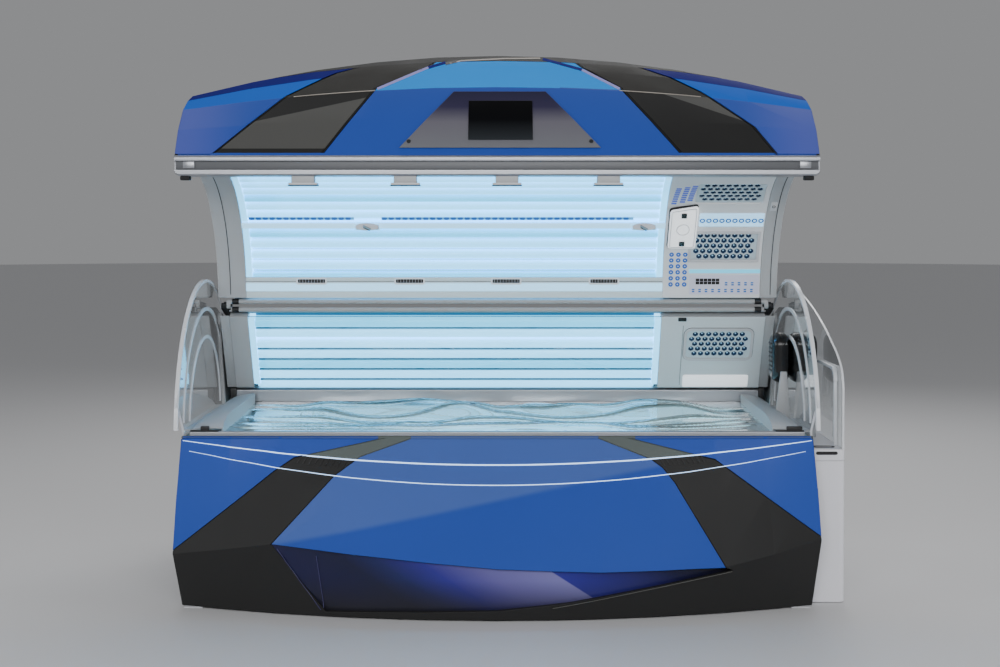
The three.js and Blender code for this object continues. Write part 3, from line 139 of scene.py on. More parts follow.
def skin_group(name, stretch, cloud_scale, smear_scale):
    """Colour drift, smears in the gloss and a fine relief, all on Object coordinates."""
    group, given, result = effect_group(
        name,
        [
            ("Colour", "NodeSocketColor", (0.5, 0.5, 0.5, 1)),
            ("Drift", "NodeSocketFloat", 0.04),
            ("Roughness", "NodeSocketFloat", 0.4),
            ("Smear", "NodeSocketFloat", 0.06),
            ("Grain", "NodeSocketFloat", 600.0),
            ("Relief", "NodeSocketFloat", 0.0002),
        ],
        SKIN_OUTPUTS,
    )
    nodes, links = group.nodes, group.links
    place = nodes.new("ShaderNodeTexCoord")
    mapping = nodes.new("ShaderNodeMapping")
    mapping.inputs["Scale"].default_value = stretch
    links.new(place.outputs["Object"], mapping.inputs["Vector"])

    def noise(scale, detail):
        node = nodes.new("ShaderNodeTexNoise")
        node.inputs["Detail"].default_value = detail
        links.new(mapping.outputs["Vector"], node.inputs["Vector"])
        if isinstance(scale, float):
            node.inputs["Scale"].default_value = scale
        else:
            links.new(scale, node.inputs["Scale"])
        return node.outputs["Fac"]

    def about(middle, spread, source):
        """middle + spread * (source - 0.5) * 2, with the swing kept between -1 and 1."""
        swing = nodes.new("ShaderNodeMapRange")
        swing.inputs["To Min"].default_value = -1
        swing.inputs["To Max"].default_value = 1
        links.new(source, swing.inputs["Value"])
        scaled = nodes.new("ShaderNodeMath")
        scaled.operation = "MULTIPLY_ADD"
        scaled.use_clamp = False
        links.new(swing.outputs["Result"], scaled.inputs[0])
        links.new(spread, scaled.inputs[1])
        if isinstance(middle, float):
            scaled.inputs[2].default_value = middle
        else:
            links.new(middle, scaled.inputs[2])
        return scaled.outputs["Value"]

    shade = nodes.new("ShaderNodeHueSaturation")
    links.new(given.outputs["Colour"], shade.inputs["Color"])
    links.new(about(1.0, given.outputs["Drift"], noise(cloud_scale, 3.0)), shade.inputs["Value"])
    links.new(shade.outputs["Color"], result.inputs["Colour"])
    gloss = about(given.outputs["Roughness"], given.outputs["Smear"], noise(smear_scale, 4.0))
    links.new(gloss, result.inputs["Roughness"])
    bump = nodes.new("ShaderNodeBump")
    bump.inputs["Strength"].default_value = 0.6
    links.new(given.outputs["Relief"], bump.inputs["Distance"])
    links.new(noise(given.outputs["Grain"], 2.0), bump.inputs["Height"])
    links.new(bump.outputs["Normal"], result.inputs["Normal"])
    return group


moulded_skin = skin_group("moulded_skin", (1, 1, 1), 2.4, 9.0)


def finish(name, group, colour, roughness, drift=0.04, smear=0.06, grain=600.0, relief=0.0002, **sockets):
    """A material whose surface comes from one shared effect, with plain values on the shader itself."""
    material = bpy.data.materials.new(name)
    material.use_nodes = True
    tree = material.node_tree
    shader = tree.nodes["Principled BSDF"]
    skin = tree.nodes.new("ShaderNodeGroup")
    skin.node_tree = group
    values = {"Colour": colour, "Drift": drift, "Roughness": roughness}
    values.update({"Smear": smear, "Grain": grain, "Relief": relief})
    for label, value in values.items():
        skin.inputs[label].default_value = value
    tree.links.new(skin.outputs["Colour"], shader.inputs["Base Color"])
    tree.links.new(skin.outputs["Roughness"], shader.inputs["Roughness"])
    tree.links.new(skin.outputs["Normal"], shader.inputs["Normal"])
    for label, value in sockets.items():
        shader.inputs[label.replace("_", " ")].default_value = value
    return material


def shade_by_angle(shape, crease):
    """Smooth faces, with the edges that turn more than the crease left sharp."""
    for face in shape.faces:
        face.smooth = True
    for edge in shape.edges:
        edge.smooth = edge.calc_face_angle(0) < math.radians(crease)


def settle(name, shape, material, body):
    """Makes a shape into a piece that moves with a body and takes a finish."""
    mesh = bpy.data.meshes.new(name)
    shape.to_mesh(mesh)
    shape.free()
    mesh.materials.append(material)
    piece = bpy.data.objects.new(name, mesh)
    bpy.context.scene.collection.objects.link(piece)
    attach(piece, body)
    return piece


body_of_node = {
    node: body
    for body, nodes in frame["record"]["behaviour"]["bodies"].items()
    for node in nodes
}


def merged_copy(node):
    """A node's shape with the seams between its triangles closed."""
    shape = bmesh.new()
    shape.from_mesh(frame["nodes"][node].data)
    bmesh.ops.remove_doubles(shape, verts=shape.verts, dist=1e-6)
    return shape


def dress(node, material, edge=0.0015, crease=24, flatten=0.4):
    """A copy of a node with rounded edges and smooth curves, which is shown in its place."""
    shape = merged_copy(node)
    if flatten:
        bmesh.ops.dissolve_limit(
            shape, angle_limit=math.radians(flatten), verts=shape.verts, edges=shape.edges
        )
    shade_by_angle(shape, 180)
    piece = settle(f"{node}_dressed", shape, material, body_of_node[node])
    if edge:
        round_over = piece.modifiers.new("rounded_edges", "BEVEL")
        round_over.width = edge
        round_over.segments = 2
        round_over.limit_method = "ANGLE"
        round_over.angle_limit = math.radians(crease)
        round_over.use_clamp_overlap = False
        piece.modifiers.new("even_shading", "WEIGHTED_NORMAL").keep_sharp = True
    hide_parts(node)
    return piece


powder_coat = finish("powder_coat", moulded_skin, paint(112, 115, 118), 0.5, grain=1400.0, Metallic=0.3)
foot_rubber = finish("foot_rubber", moulded_skin, paint(24, 24, 26), 0.8, relief=0.0004)
dress("base_frame", powder_coat, edge=0.003)
for corner in ("front_left", "front_right", "rear_left", "rear_right"):
    dress(f"foot_{corner}", foot_rubber)

# Front panel: a bowed moulding in charcoal plastic with lacquered blue panels let into it, and a
# glossy plinth panel set back under the knee.
charcoal = finish(
    "charcoal_moulding", moulded_skin, paint(36, 36, 36), 0.55, grain=900.0, relief=0.0003,
    Specular_IOR_Level=0.22,
)
blue_lacquer = finish(
    "blue_lacquer", moulded_skin, paint(42, 77, 168), 0.5, drift=0.05, smear=0.05, grain=160.0,
    relief=0.00004, Specular_IOR_Level=0.22, Coat_Weight=0.05, Coat_Roughness=0.2,
)
strip_rise = (0.539, 0.622)
front_low, front_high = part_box("front_moulding")
front_middle = (front_low.x + front_high.x) / 2
panel_half = front_high.x - front_middle - 0.026


def front_charcoal():
    """The charcoal of the moulding, with a paler grey-green painted above the upper highlight strip as a painted
    reflection.
    """
    material = finish(
        "front_charcoal", moulded_skin, paint(36, 36, 36), 0.5, grain=900.0, relief=0.0003,
        Specular_IOR_Level=0.22,
    )
    tree = material.node_tree
    skin = next(node for node in tree.nodes if node.type == "GROUP")
    place = tree.nodes.new("ShaderNodeTexCoord")
    axes = tree.nodes.new("ShaderNodeSeparateXYZ")
    tree.links.new(place.outputs["Object"], axes.inputs["Vector"])

    def step(operation, first, second, third=0.0):
        node = tree.nodes.new("ShaderNodeMath")
        node.operation = operation
        for socket, value in zip(node.inputs, (first, second, third)):
            if isinstance(value, float):
                socket.default_value = value
            else:
                tree.links.new(value, socket)
        return node.outputs["Value"]

    share = step("DIVIDE", step("SUBTRACT", axes.outputs["X"], front_middle), panel_half)
    sag = step("MULTIPLY_ADD", step("MULTIPLY", share, share), strip_rise[1] - strip_rise[0], strip_rise[0])
    above = step("GREATER_THAN", axes.outputs["Z"], sag)
    # Above the sagging line the colour turns paler: a painted reflection on the upper part of the moulding.
    tone = tree.nodes.new("ShaderNodeMix")
    tone.data_type = "RGBA"
    tone.inputs[6].default_value = paint(40, 40, 40)
    tone.inputs[7].default_value = paint(92, 100, 98)
    tree.links.new(above, tone.inputs[0])
    tree.links.new(tone.outputs[2], skin.inputs["Colour"])
    return material


dress("front_moulding", front_charcoal(), edge=0.0018, flatten=0)


def lacquer_with_painted_light(name, direction, start, end, first, second, **sockets):
    """Satin lacquer whose colour passes from one to another along a direction: painted light, not a second paint.
    """
    material = finish(
        name, moulded_skin, paint(*first), 0.5, drift=0.05, smear=0.05, grain=160.0, relief=0.00004, **sockets,
    )
    tree = material.node_tree
    skin = next(node for node in tree.nodes if node.type == "GROUP")
    place = tree.nodes.new("ShaderNodeTexCoord")
    along = tree.nodes.new("ShaderNodeVectorMath")
    along.operation = "DOT_PRODUCT"
    along.inputs[1].default_value = direction
    tree.links.new(place.outputs["Object"], along.inputs[0])
    fold = tree.nodes.new("ShaderNodeMapRange")
    fold.interpolation_type = "SMOOTHSTEP"
    fold.inputs["From Min"].default_value = start
    fold.inputs["From Max"].default_value = end
    tree.links.new(along.outputs["Value"], fold.inputs["Value"])
    tone = tree.nodes.new("ShaderNodeMix")
    tone.data_type = "RGBA"
    tone.inputs[6].default_value = paint(*first)
    tone.inputs[7].default_value = paint(*second)
    tree.links.new(fold.outputs["Result"], tone.inputs[0])
    tree.links.new(tone.outputs[2], skin.inputs["Colour"])
    return material


# The paler blue above the slanted line is a painted highlight on the upper facet of the centre panel.
front_blue = lacquer_with_painted_light(
    "front_blue", (-0.19, 0.0, 1.0), 0.418, 0.44, (38, 74, 164), (68, 97, 170), Specular_IOR_Level=0.22,
)
dress("front_centre_panel", front_blue, edge=0.001, flatten=0)
for panel in ("front_left_panel", "front_right_panel"):
    dress(panel, blue_lacquer, edge=0.001, flatten=0)


def plinth_gloss():
    """Dark violet lacquer with a painted reflection, a pale band across its middle that ends on a slanted line, and
    painted shade towards the floor.
    """
    material = finish(
        "plinth_gloss", moulded_skin, paint(30, 28, 62), 0.22, smear=0.03, relief=0.00004,
        Specular_IOR_Level=0.35,
    )
    tree = material.node_tree
    skin = next(node for node in tree.nodes if node.type == "GROUP")
    place = tree.nodes.new("ShaderNodeTexCoord")
    slant = tree.nodes.new("ShaderNodeVectorMath")
    slant.operation = "DOT_PRODUCT"
    slant.inputs[1].default_value = (1.0, 0.0, 1.46)
    span = tree.nodes.new("ShaderNodeMapRange")
    span.inputs["From Min"].default_value = -0.476
    span.inputs["From Max"].default_value = 1.074
    painted_reflection = tree.nodes.new("ShaderNodeValToRGB")
    stops = (
        (0.0, (30, 30, 66)), (0.12, (30, 32, 60)), (0.2, (36, 40, 90)), (0.3, (52, 48, 140)),
        (0.42, (106, 100, 164)), (0.571, (128, 124, 184)), (0.573, (48, 44, 146)), (0.71, (40, 38, 112)),
        (0.84, (26, 26, 60)), (0.97, (22, 22, 30)),
    )
    ramp = painted_reflection.color_ramp.elements
    for i, (position, colour) in enumerate(stops):
        stop = ramp[i] if i < 2 else ramp.new(position)
        stop.position = position
        stop.color = paint(*colour)
    tree.links.new(place.outputs["Object"], slant.inputs[0])
    tree.links.new(slant.outputs["Value"], span.inputs["Value"])
    tree.links.new(span.outputs["Result"], painted_reflection.inputs["Fac"])
    height = tree.nodes.new("ShaderNodeSeparateXYZ")
    tree.links.new(place.outputs["Object"], height.inputs["Vector"])
    # Towards the floor the colour darkens to grey: painted shade at the foot of the plinth.
    foot = tree.nodes.new("ShaderNodeMapRange")
    foot.inputs["From Min"].default_value = 0.02
    foot.inputs["From Max"].default_value = 0.15
    tree.links.new(height.outputs["Z"], foot.inputs["Value"])
    shade = tree.nodes.new("ShaderNodeMix")
    shade.data_type = "RGBA"
    shade.inputs[6].default_value = paint(38, 38, 44)
    tree.links.new(foot.outputs["Result"], shade.inputs[0])
    tree.links.new(painted_reflection.outputs["Color"], shade.inputs[7])
    tree.links.new(shade.outputs[2], skin.inputs["Colour"])
    return material


plinth = merged_copy("plinth_panel")
crease_top, crease_foot = Vector((front_middle - 0.655, 0, 0.241)), Vector((front_middle - 0.628, 0, 0.022))
crease_normal = (crease_foot - crease_top).cross(Vector((0, 1, 0))).normalized()
bmesh.ops.bisect_plane(
    plinth, geom=plinth.verts[:] + plinth.edges[:] + plinth.faces[:], dist=1e-6, plane_co=crease_top,
    plane_no=crease_normal,
)
facet_lean = 0.24
facet_rise = 0.0165
for vert in plinth.verts:
    beyond = abs((vert.co - crease_top).dot(crease_normal))
    if vert.co.x < crease_top.x + (crease_top.z - vert.co.z) * 0.123:
        vert.co.y -= min(facet_rise, facet_lean * beyond)
shade_by_angle(plinth, 8)
plinth_piece = settle("plinth_panel_dressed", plinth, plinth_gloss(), "base")
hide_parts("plinth_panel")

# Highlight strips: two narrow glowing bands that sag across the front panel from end to end, painted
# highlights of the light along its rounded edges, with a comb of cooling fins under the upper one where
# it crosses each dark band.


def skin_tree(*nodes):
    """The joined outside of some nodes, to find points on it."""
    shape = bmesh.new()
    for node in nodes:
        shape.from_mesh(frame["nodes"][node].data)
    tree = BVHTree.FromBMesh(shape)
    shape.free()
    return tree


front_skin = skin_tree(
    "front_moulding", "front_centre_panel", "front_left_panel", "front_right_panel", "plinth_panel"
)
reveal_reach = 0.006


def on_front(x, z):
    """The point of the front panel's face at x and z, across any reveal between panels."""
    reach = []
    for aside in (-reveal_reach, 0, reveal_reach):
        hit = front_skin.ray_cast(Vector((x + aside, front_low.y - 1, z)), Vector((0, 1, 0)))[0]
        if hit:
            reach.append(hit.y)
    return Vector((x, min(reach), z))


def laid_band(columns, rows, place, wall):
    """A grid laid where place(u, v) says, for u and v from 0 to 1, and thickened away from its face."""
    shape = bmesh.new()
    bmesh.ops.create_grid(shape, x_segments=columns, y_segments=rows, size=0.5)
    for vert in shape.verts:
        vert.co = place(vert.co.x + 0.5, vert.co.y + 0.5)
    bmesh.ops.recalc_face_normals(shape, faces=shape.faces)
    bmesh.ops.solidify(shape, geom=shape.faces[:], thickness=wall)
    bmesh.ops.recalc_face_normals(shape, faces=shape.faces)
    shade_by_angle(shape, 40)
    return shape


def lit(name, colour, strength, roughness=0.3):
    """A glowing material, for diffusers with a light behind them and for painted light on parts that are no lamps.
    """
    material = finish(name, moulded_skin, colour, roughness, drift=0.02, relief=0.00005)
    shader = material.node_tree.nodes["Principled BSDF"]
    shader.inputs["Emission Color"].default_value = colour
    shader.inputs["Emission Strength"].default_value = strength
    return material


# The two strips glow as painted highlights of the light along the front's rounded edges; there is no lamp in them.
painted_edge_highlight = lit("painted_edge_highlight", paint(186, 216, 255), 1.6)
strip_proud = 0.0014
for strip_name, middle_z, end_z, height, reach in (
    ("edge_highlight_upper", *strip_rise, 0.0043, 0.996),
    ("edge_highlight_lower", 0.471, 0.588, 0.0025, 0.975),
):

    def strip_place(u, v):
        s = (2 * u - 1) * reach
        taper = height * (1 - 0.6 * s ** 4)
        z = end_z + (middle_z - end_z) * (1 - s * s) + (v - 0.5) * taper
        return on_front(front_middle + s * panel_half, z) - Vector((0, strip_proud, 0))

    band = laid_band(120, 1, strip_place, 2 * strip_proud)
    settle(strip_name, band, painted_edge_highlight, "base")

fin_count = 9
fin_height = 0.024
fin_width = 0.0045
fin_slant = 0.014
fins = []
for first, last in ((-0.742, -0.572), (0.622, 0.77)):
    for i in range(fin_count):
        x = front_middle + first + (last - first) * i / (fin_count - 1)
        s = (x - front_middle) / panel_half
        top = strip_rise[1] + (strip_rise[0] - strip_rise[1]) * (1 - s * s) - 0.004
        lean = fin_slant if x < front_middle else -fin_slant

        def fin_place(u, v):
            z = top - (1 - v) * fin_height
            return on_front(x + (u - 0.5) * fin_width + lean * v, z) - Vector((0, 0.0025, 0))

        fins.append(laid_band(1, 3, fin_place, 0.0035))


def gather(shapes):
    """Several shapes in one."""
    whole = bmesh.new()
    for shape in shapes:
        mesh = bpy.data.meshes.new("part")
        shape.to_mesh(mesh)
        shape.free()
        whole.from_mesh(mesh)
        bpy.data.meshes.remove(mesh)
    return whole


black_moulding = finish("black_moulding", moulded_skin, paint(20, 20, 22), 0.5, relief=0.0003)
settle("front_vent_fins", gather(fins), black_moulding, "base")

# Front trim: a lacquered strip along the upper edge of each blue panel, and painted highlights: fine bright
# lines along the creases of the plinth and along its sill.


def trim(marks, width, proud, face):
    """A strip along a run of points, each given by x and z, laid on the face that a function gives."""
    runs = []
    for (x0, z0), (x1, z1) in zip(marks, marks[1:]):
        length = math.hypot(x1 - x0, z1 - z0)
        side = Vector((z0 - z1, x1 - x0)) / length * width

        def trim_place(u, v):
            x = x0 + (x1 - x0) * u + side.x * (v - 0.5)
            z = z0 + (z1 - z0) * u + side.y * (v - 0.5)
            return face(x, z) - Vector((0, proud, 0))

        runs.append(laid_band(max(2, round(length / 0.02)), 1, trim_place, 2 * proud))
    return gather(runs)


def on_bed_front(x, z):
    return on_front(front_middle + x, z)


blue_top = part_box("front_centre_panel")[1].z
edge_height = front_high.z - blue_top
edge_z = blue_top + edge_height / 2
for name, start, stop, material in (
    ("front_edge_left", -1.172, -0.444, blue_lacquer),
    ("front_edge_centre", -0.322, 0.378, front_blue),
    ("front_edge_right", 0.516, 1.172, blue_lacquer),
):
    strip = trim(((start, edge_z), (stop, edge_z)), edge_height - 0.0006, 0.0008, on_bed_front)
    settle(name, strip, material, "base")
# Painted highlights: thin bright lines where light catches the plinth's creases and its sill.
crease_highlight = finish("crease_highlight", moulded_skin, paint(70, 68, 112), 0.4)
plinth_lines = [
    trim(((-0.655, 0.228), (-0.63, 0.034)), 0.002, 0.0012, on_bed_front),
    trim(((-0.8, 0.25), (-0.64, 0.028)), 0.0016, 0.0012, on_bed_front),
]
settle("plinth_crease_lines", gather(plinth_lines), crease_highlight, "base")
sill_highlight = finish("sill_highlight", moulded_skin, paint(96, 96, 92), 0.4)
sill = trim(((0.2, 0.05), (0.265, 0.0605), (0.55, 0.112), (0.856, 0.1655)), 0.0016, 0.0012, on_bed_front)
settle("plinth_sill_line", sill, sill_highlight, "base")

# Bench rails: aluminium extrusions along the front and the back of the bench, brushed along their
# length, which carry the lying sheet on their ledges. Black caps close the ends of the rear one, and
# two thin black strips along its top and foot are painted shadow lines.
drawn_skin = skin_group("drawn_skin", (0.012, 1, 1), 6.0, 40.0)
drawn_aluminium = finish(
    "drawn_aluminium", drawn_skin, paint(164, 167, 173), 0.34, drift=0.1, smear=0.1, grain=500.0,
    relief=0.0001, Metallic=0.8,
)
dress("front_rail", drawn_aluminium, edge=0.002)
dress("rear_rail", drawn_aluminium, edge=0.0025)
bed_origin = Vector((front_middle, -0.445, 0))


def spot(x, y, z):
    """A point given from the middle of the bench's front edge, at the floor."""
    return bed_origin + Vector((x, y, z))


def block(low, high, edge=0.001, segments=2):
    """A box between two corners with rounded edges."""
    shape = bmesh.new()
    bmesh.ops.create_cube(shape, size=1)
    size = high - low
    bmesh.ops.scale(shape, vec=size, verts=shape.verts)
    bmesh.ops.translate(shape, vec=(low + high) / 2, verts=shape.verts)
    bmesh.ops.bevel(
        shape, geom=shape.edges[:], offset=edge, affect="EDGES", segments=segments, profile=0.5,
        material=-1,
    )
    shade_by_angle(shape, 40)
    return shape


rail_low, rail_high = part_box("rear_rail")
cap_wall = 0.026
caps = []
for end, outwards in ((rail_low.x, -1), (rail_high.x, 1)):
    start, stop = sorted((end, end + outwards * cap_wall))
    low = Vector((start, rail_low.y + 0.028, rail_high.z - 0.056))
    high = Vector((stop, rail_low.y + 0.05, rail_high.z + 0.003))
    caps.append(block(low, high, edge=0.002))
# Two thin black strips along the rail, at its top and at its foot, are painted shadow lines.
for rise in (0.0, -0.0555):
    low = Vector((rail_low.x, rail_low.y + 0.0268, rail_high.z + rise - 0.0002))
    caps.append(block(low, Vector((rail_high.x, rail_low.y + 0.031, rail_high.z + rise + 0.0026)), edge=0.0008))
settle("rear_rail_caps_and_shadow_lines", gather(caps), black_moulding, "base")

# Bench lamps: fluorescent tubes with metal end caps, clipped into a holder at each end over a bright
# reflector tray.
bright_aluminium = finish(
    "bright_aluminium", drawn_skin, paint(224, 234, 240), 0.24, drift=0.05, relief=0.00008, Metallic=0.7,
)
dress("bench_reflector", bright_aluminium, edge=0.001)
lamp_glow = lit("lamp_glow", paint(128, 212, 255), 2.6, roughness=0.2)
lamp_cyan = lit("lamp_cyan", paint(84, 198, 240), 2.0, roughness=0.2)
bench_glow = lit("bench_glow", paint(184, 222, 232), 1.5, roughness=0.2)
# A pale blue glow for the centre bar and for a band along the vent: painted light from the tubes, as neither is a
# lamp.
bar_painted_glow = lit("bar_painted_glow", paint(160, 218, 252), 1.25)
white_case = finish("white_case", moulded_skin, paint(206, 207, 211), 0.38)
tube_radius = 0.0185
neck_radius = 0.0145
neck_length = 0.014
lamp_cap_length = 0.012


def round_bar(x0, x1, y, z, radius0, radius1, sides=20):
    """A round bar or cone along X."""
    shape = bmesh.new()
    place = Matrix.Translation(Vector(((x0 + x1) / 2, y, z))) @ Matrix.Rotation(math.pi / 2, 4, "Y")
    bmesh.ops.create_cone(
        shape, cap_ends=True, segments=sides, radius1=radius0, radius2=radius1, depth=x1 - x0,
        matrix=place,
    )
    shade_by_angle(shape, 50)
    return shape


def lamp_bank(node, x0, x1, axes, glow, tinted=(), radius=tube_radius):
    """Tubes at the given y and z from x0 to x1, with their caps; some of the tubes are of a bluer glass."""
    tubes, blue_tubes, ends = [], [], []
    for i, (y, z) in enumerate(axes):
        bank = blue_tubes if i in tinted else tubes
        left, right = x0 + lamp_cap_length, x1 - lamp_cap_length
        neck_left, neck_right = left + neck_length, right - neck_length
        bank.append(round_bar(left, neck_left, y, z, neck_radius, radius))
        bank.append(round_bar(neck_left, neck_right, y, z, radius, radius))
        bank.append(round_bar(neck_right, right, y, z, radius, neck_radius))
        ends.append(round_bar(x0, left, y, z, neck_radius + 0.0015, neck_radius + 0.0015))
        ends.append(round_bar(right, x1, y, z, neck_radius + 0.0015, neck_radius + 0.0015))
    body = body_of_node[node]
    glass = settle(f"{node}_tubes", gather(tubes), glow, body)
    settle(f"{node}_caps", gather(ends), drawn_aluminium, body)
    if blue_tubes:
        settle(f"{node}_blue_tubes", gather(blue_tubes), lamp_cyan, body)
    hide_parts(node)


lamp_pitch = 0.045
field_low, field_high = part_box("bench_lamps")
bench_lamp_z = field_high.z - 0.022
first_lamp = field_low.y + 0.023
bench_lamp_count = round((field_high.y - field_low.y - 0.046) / lamp_pitch) + 1
lamp_bank(
    "bench_lamps", field_low.x + 0.002, field_high.x - 0.002,
    [(first_lamp + i * lamp_pitch, bench_lamp_z) for i in range(bench_lamp_count)], bench_glow,
)
holders = []
bench_half = (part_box("bench_acrylic")[1].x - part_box("bench_acrylic")[0].x) / 2 - 0.004
for start, stop in (
    (bed_origin.x - bench_half, field_low.x + 0.025), (field_high.x - 0.025, bed_origin.x + bench_half),
):
    low = Vector((start, field_low.y, field_low.z))
    holders.append(block(low, Vector((stop, field_high.y, bench_lamp_z + 0.012)), edge=0.002))
settle("bench_lamp_holders", gather(holders), white_case, "base")

# Lying sheet: clear acrylic, vacuum moulded to the body in long soft waves, laid on the ledges of the
# two rails and lifted out for cleaning.


def clear_acrylic(name, colour, roughness=0.04):
    return finish(
        name, moulded_skin, colour, roughness, drift=0.01, smear=0.02, grain=30.0, relief=0.00008,
        Transmission_Weight=1.0, IOR=1.49,
    )


lying_acrylic = clear_acrylic("lying_acrylic", paint(240, 250, 252))
sheet_low, sheet_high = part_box("bench_acrylic")
ledge_z = 0.6425
ledge_rise = 0.02
body_dip = 0.03
ridge_height = 0.009
ridge_width = 0.0105
bolsters = (
    (-0.72, -0.1, 0.8, 0.13, 0.03), (0.52, 0.8, 0.78, 0.12, 0.027), (-0.38, 0.42, 0.25, 0.1, 0.016),
    (0.1, 0.4, 0.8, 0.1, 0.02),
)
ridges = (
    (0.22, 0.05, 0.0), (0.37, 0.08, 0.9), (0.54, 0.09, 1.6), (0.7, 0.08, 2.4), (0.83, 0.05, 3.1),
)


def swell(value, start, end):
    share = min(1.0, max(0.0, (value - start) / (end - start)))
    return share * share * (3 - 2 * share)


def lying_surface(u, v):
    """The sheet's underside: a hollow with raised bolsters beside the body and fine ridges between them."""
    s = 2 * u - 1
    depth = sheet_high.y - sheet_low.y
    ends = 1 - 0.9 * s ** 8
    z = ledge_z + ledge_rise * v - body_dip * math.sin(math.pi * v) ** 2 * ends
    rim = swell(v, 0, 0.08) * (1 - swell(v, 0.94, 1)) * ends
    for start, stop, middle, reach, height in bolsters:
        along = swell(s, start - 0.12, start + 0.06) * (1 - swell(s, stop - 0.06, stop + 0.12))
        away = (v - middle - 0.04 * math.sin(4 * math.pi * s)) / reach
        z += height * along * math.exp(-away * away) * rim
    for middle, swing, phase in ridges:
        away = (v - middle - swing * math.sin(2.6 * math.pi * s + phase)) * depth / ridge_width
        z += ridge_height * math.exp(-away * away) * rim
    x = sheet_low.x + u * (sheet_high.x - sheet_low.x)
    return Vector((x, sheet_low.y + v * depth, z))


lying_sheet = settle(
    "lying_sheet", laid_band(250, 150, lying_surface, -0.006), lying_acrylic, "base"
)
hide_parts("bench_acrylic")
# The steep flanks of the ridges take a greyer tint: painted shade for the dark lines that light makes along them.
sheet_flank_painted_shade = clear_acrylic("sheet_flank_painted_shade", paint(152, 150, 144), roughness=0.06)
lying_sheet.data.materials.append(sheet_flank_painted_shade)
flank_level = 0.9
for face in lying_sheet.data.polygons:
    face.material_index = 1 if abs(face.normal.z) < flank_level else 0

# Bench ends: pale quarter-round mouldings in injection-moulded plastic over each end of the bench, with
# a black catch at the front corner that holds the lying sheet down.
pale_moulding = finish("pale_moulding", moulded_skin, paint(176, 179, 182), 0.42)
bolster_base = 0.6555
bolster_rise = 0.046
bolster_reach = 0.112
nose_length = 0.2
for side, outwards in (("left", -1), ("right", 1)):
    end_low, end_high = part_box(f"end_moulding_{side}")
    inner_x = end_low.x if outwards > 0 else end_high.x

    def bolster_place(u, v):
        y = end_low.y + v * (end_high.y - end_low.y)
        nose = 1 - min(1.0, (y - end_low.y) / nose_length)
        rise = bolster_rise * math.sqrt(max(0.02, 1 - nose * nose))
        if u < 0.2:
            return Vector((inner_x, y, ledge_z + (bolster_base + rise - ledge_z) * u / 0.2))
        if u > 0.88:
            reach = bolster_reach + (end_high.x - end_low.x - bolster_reach) * (u - 0.88) / 0.12
            return Vector((inner_x + outwards * reach, y, bolster_base))
        turn = math.pi / 2 * (u - 0.2) / 0.68
        x = inner_x + outwards * bolster_reach * math.sin(turn)
        return Vector((x, y, bolster_base + rise * math.cos(turn)))

    bolster = settle(
        f"end_bolster_{side}", laid_band(25, 48, bolster_place, 0.004), pale_moulding, "base"
    )
    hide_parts(f"end_moulding_{side}")
    dress(f"base_end_panel_{side}", pale_moulding, edge=0.002)
catches = [
    block(spot(-1.147, 0.001, 0.6548), spot(-1.041, 0.0155, 0.6585)),
    block(spot(-1.108, 0.001, 0.658), spot(-1.076, 0.0155, 0.674), edge=0.003),
    block(spot(1.041, 0.001, 0.6548), spot(1.147, 0.0155, 0.6585)),
    block(spot(1.082, 0.001, 0.658), spot(1.14, 0.0155, 0.673), edge=0.003),
]
settle("sheet_catches", gather(catches), black_moulding, "base")
glides = []
for start, stop in ((-1.166, -1.096), (1.096, 1.166)):
    glides.append(block(spot(start, -0.03, 0.0005), spot(stop, 0.0, 0.0042), edge=0.0015))
settle("front_glides", gather(glides), white_case, "base")

# End panes: clear acrylic sheets cut to an arch and polished along the edge, which close the tunnel at
# each end. Two raised ribs follow the arch, and a black blower housing clamps the head-end sheet.
pane_acrylic = clear_acrylic("pane_acrylic", paint(246, 250, 252), roughness=0.02)
# The panes' cut edges are painted near white: a painted highlight of the light their polished edges catch.
polished_edge_highlight = finish(
    "polished_edge_highlight", moulded_skin, paint(240, 243, 248), 0.25, drift=0.02, relief=0.00004,
    Transmission_Weight=0.15,
)
black_gloss = finish("black_gloss", moulded_skin, paint(14, 14, 16), 0.24, relief=0.0001)


def dress_pane(node):
    """A clear sheet standing square to X, with its polished cut edge painted near white as a painted highlight."""
    piece = dress(node, pane_acrylic, edge=0.0)
    mesh = piece.data
    mesh.materials.append(polished_edge_highlight)
    for face in mesh.polygons:
        face.material_index = 0 if abs(face.normal.x) > 0.5 else 1
        face.use_smooth = abs(face.normal.x) < 0.5


def bent_bar(x, y, z, radius, width, depth, start, end, steps):
    """A flat bar bent on an arc round a line along X, its angles in degrees from the back upwards."""
    shape = bmesh.new()
    bmesh.ops.create_grid(shape, x_segments=1, y_segments=1, size=0.5)
    centre = spot(x, y, z)
    place = Matrix.Translation(centre) @ Matrix.Rotation(math.radians(start), 4, "X")
    place = place @ Matrix.Translation((0, radius, 0)) @ Matrix.Diagonal((width, depth, 1, 1))
    bmesh.ops.transform(shape, matrix=place, verts=shape.verts)
    bmesh.ops.spin(
        shape, geom=shape.faces[:] + shape.edges[:] + shape.verts[:], cent=centre, axis=(1, 0, 0),
        angle=math.radians(end - start), steps=steps, use_merge=False,
    )
    bmesh.ops.recalc_face_normals(shape, faces=shape.faces)
    shade_by_angle(shape, 40)
    return shape


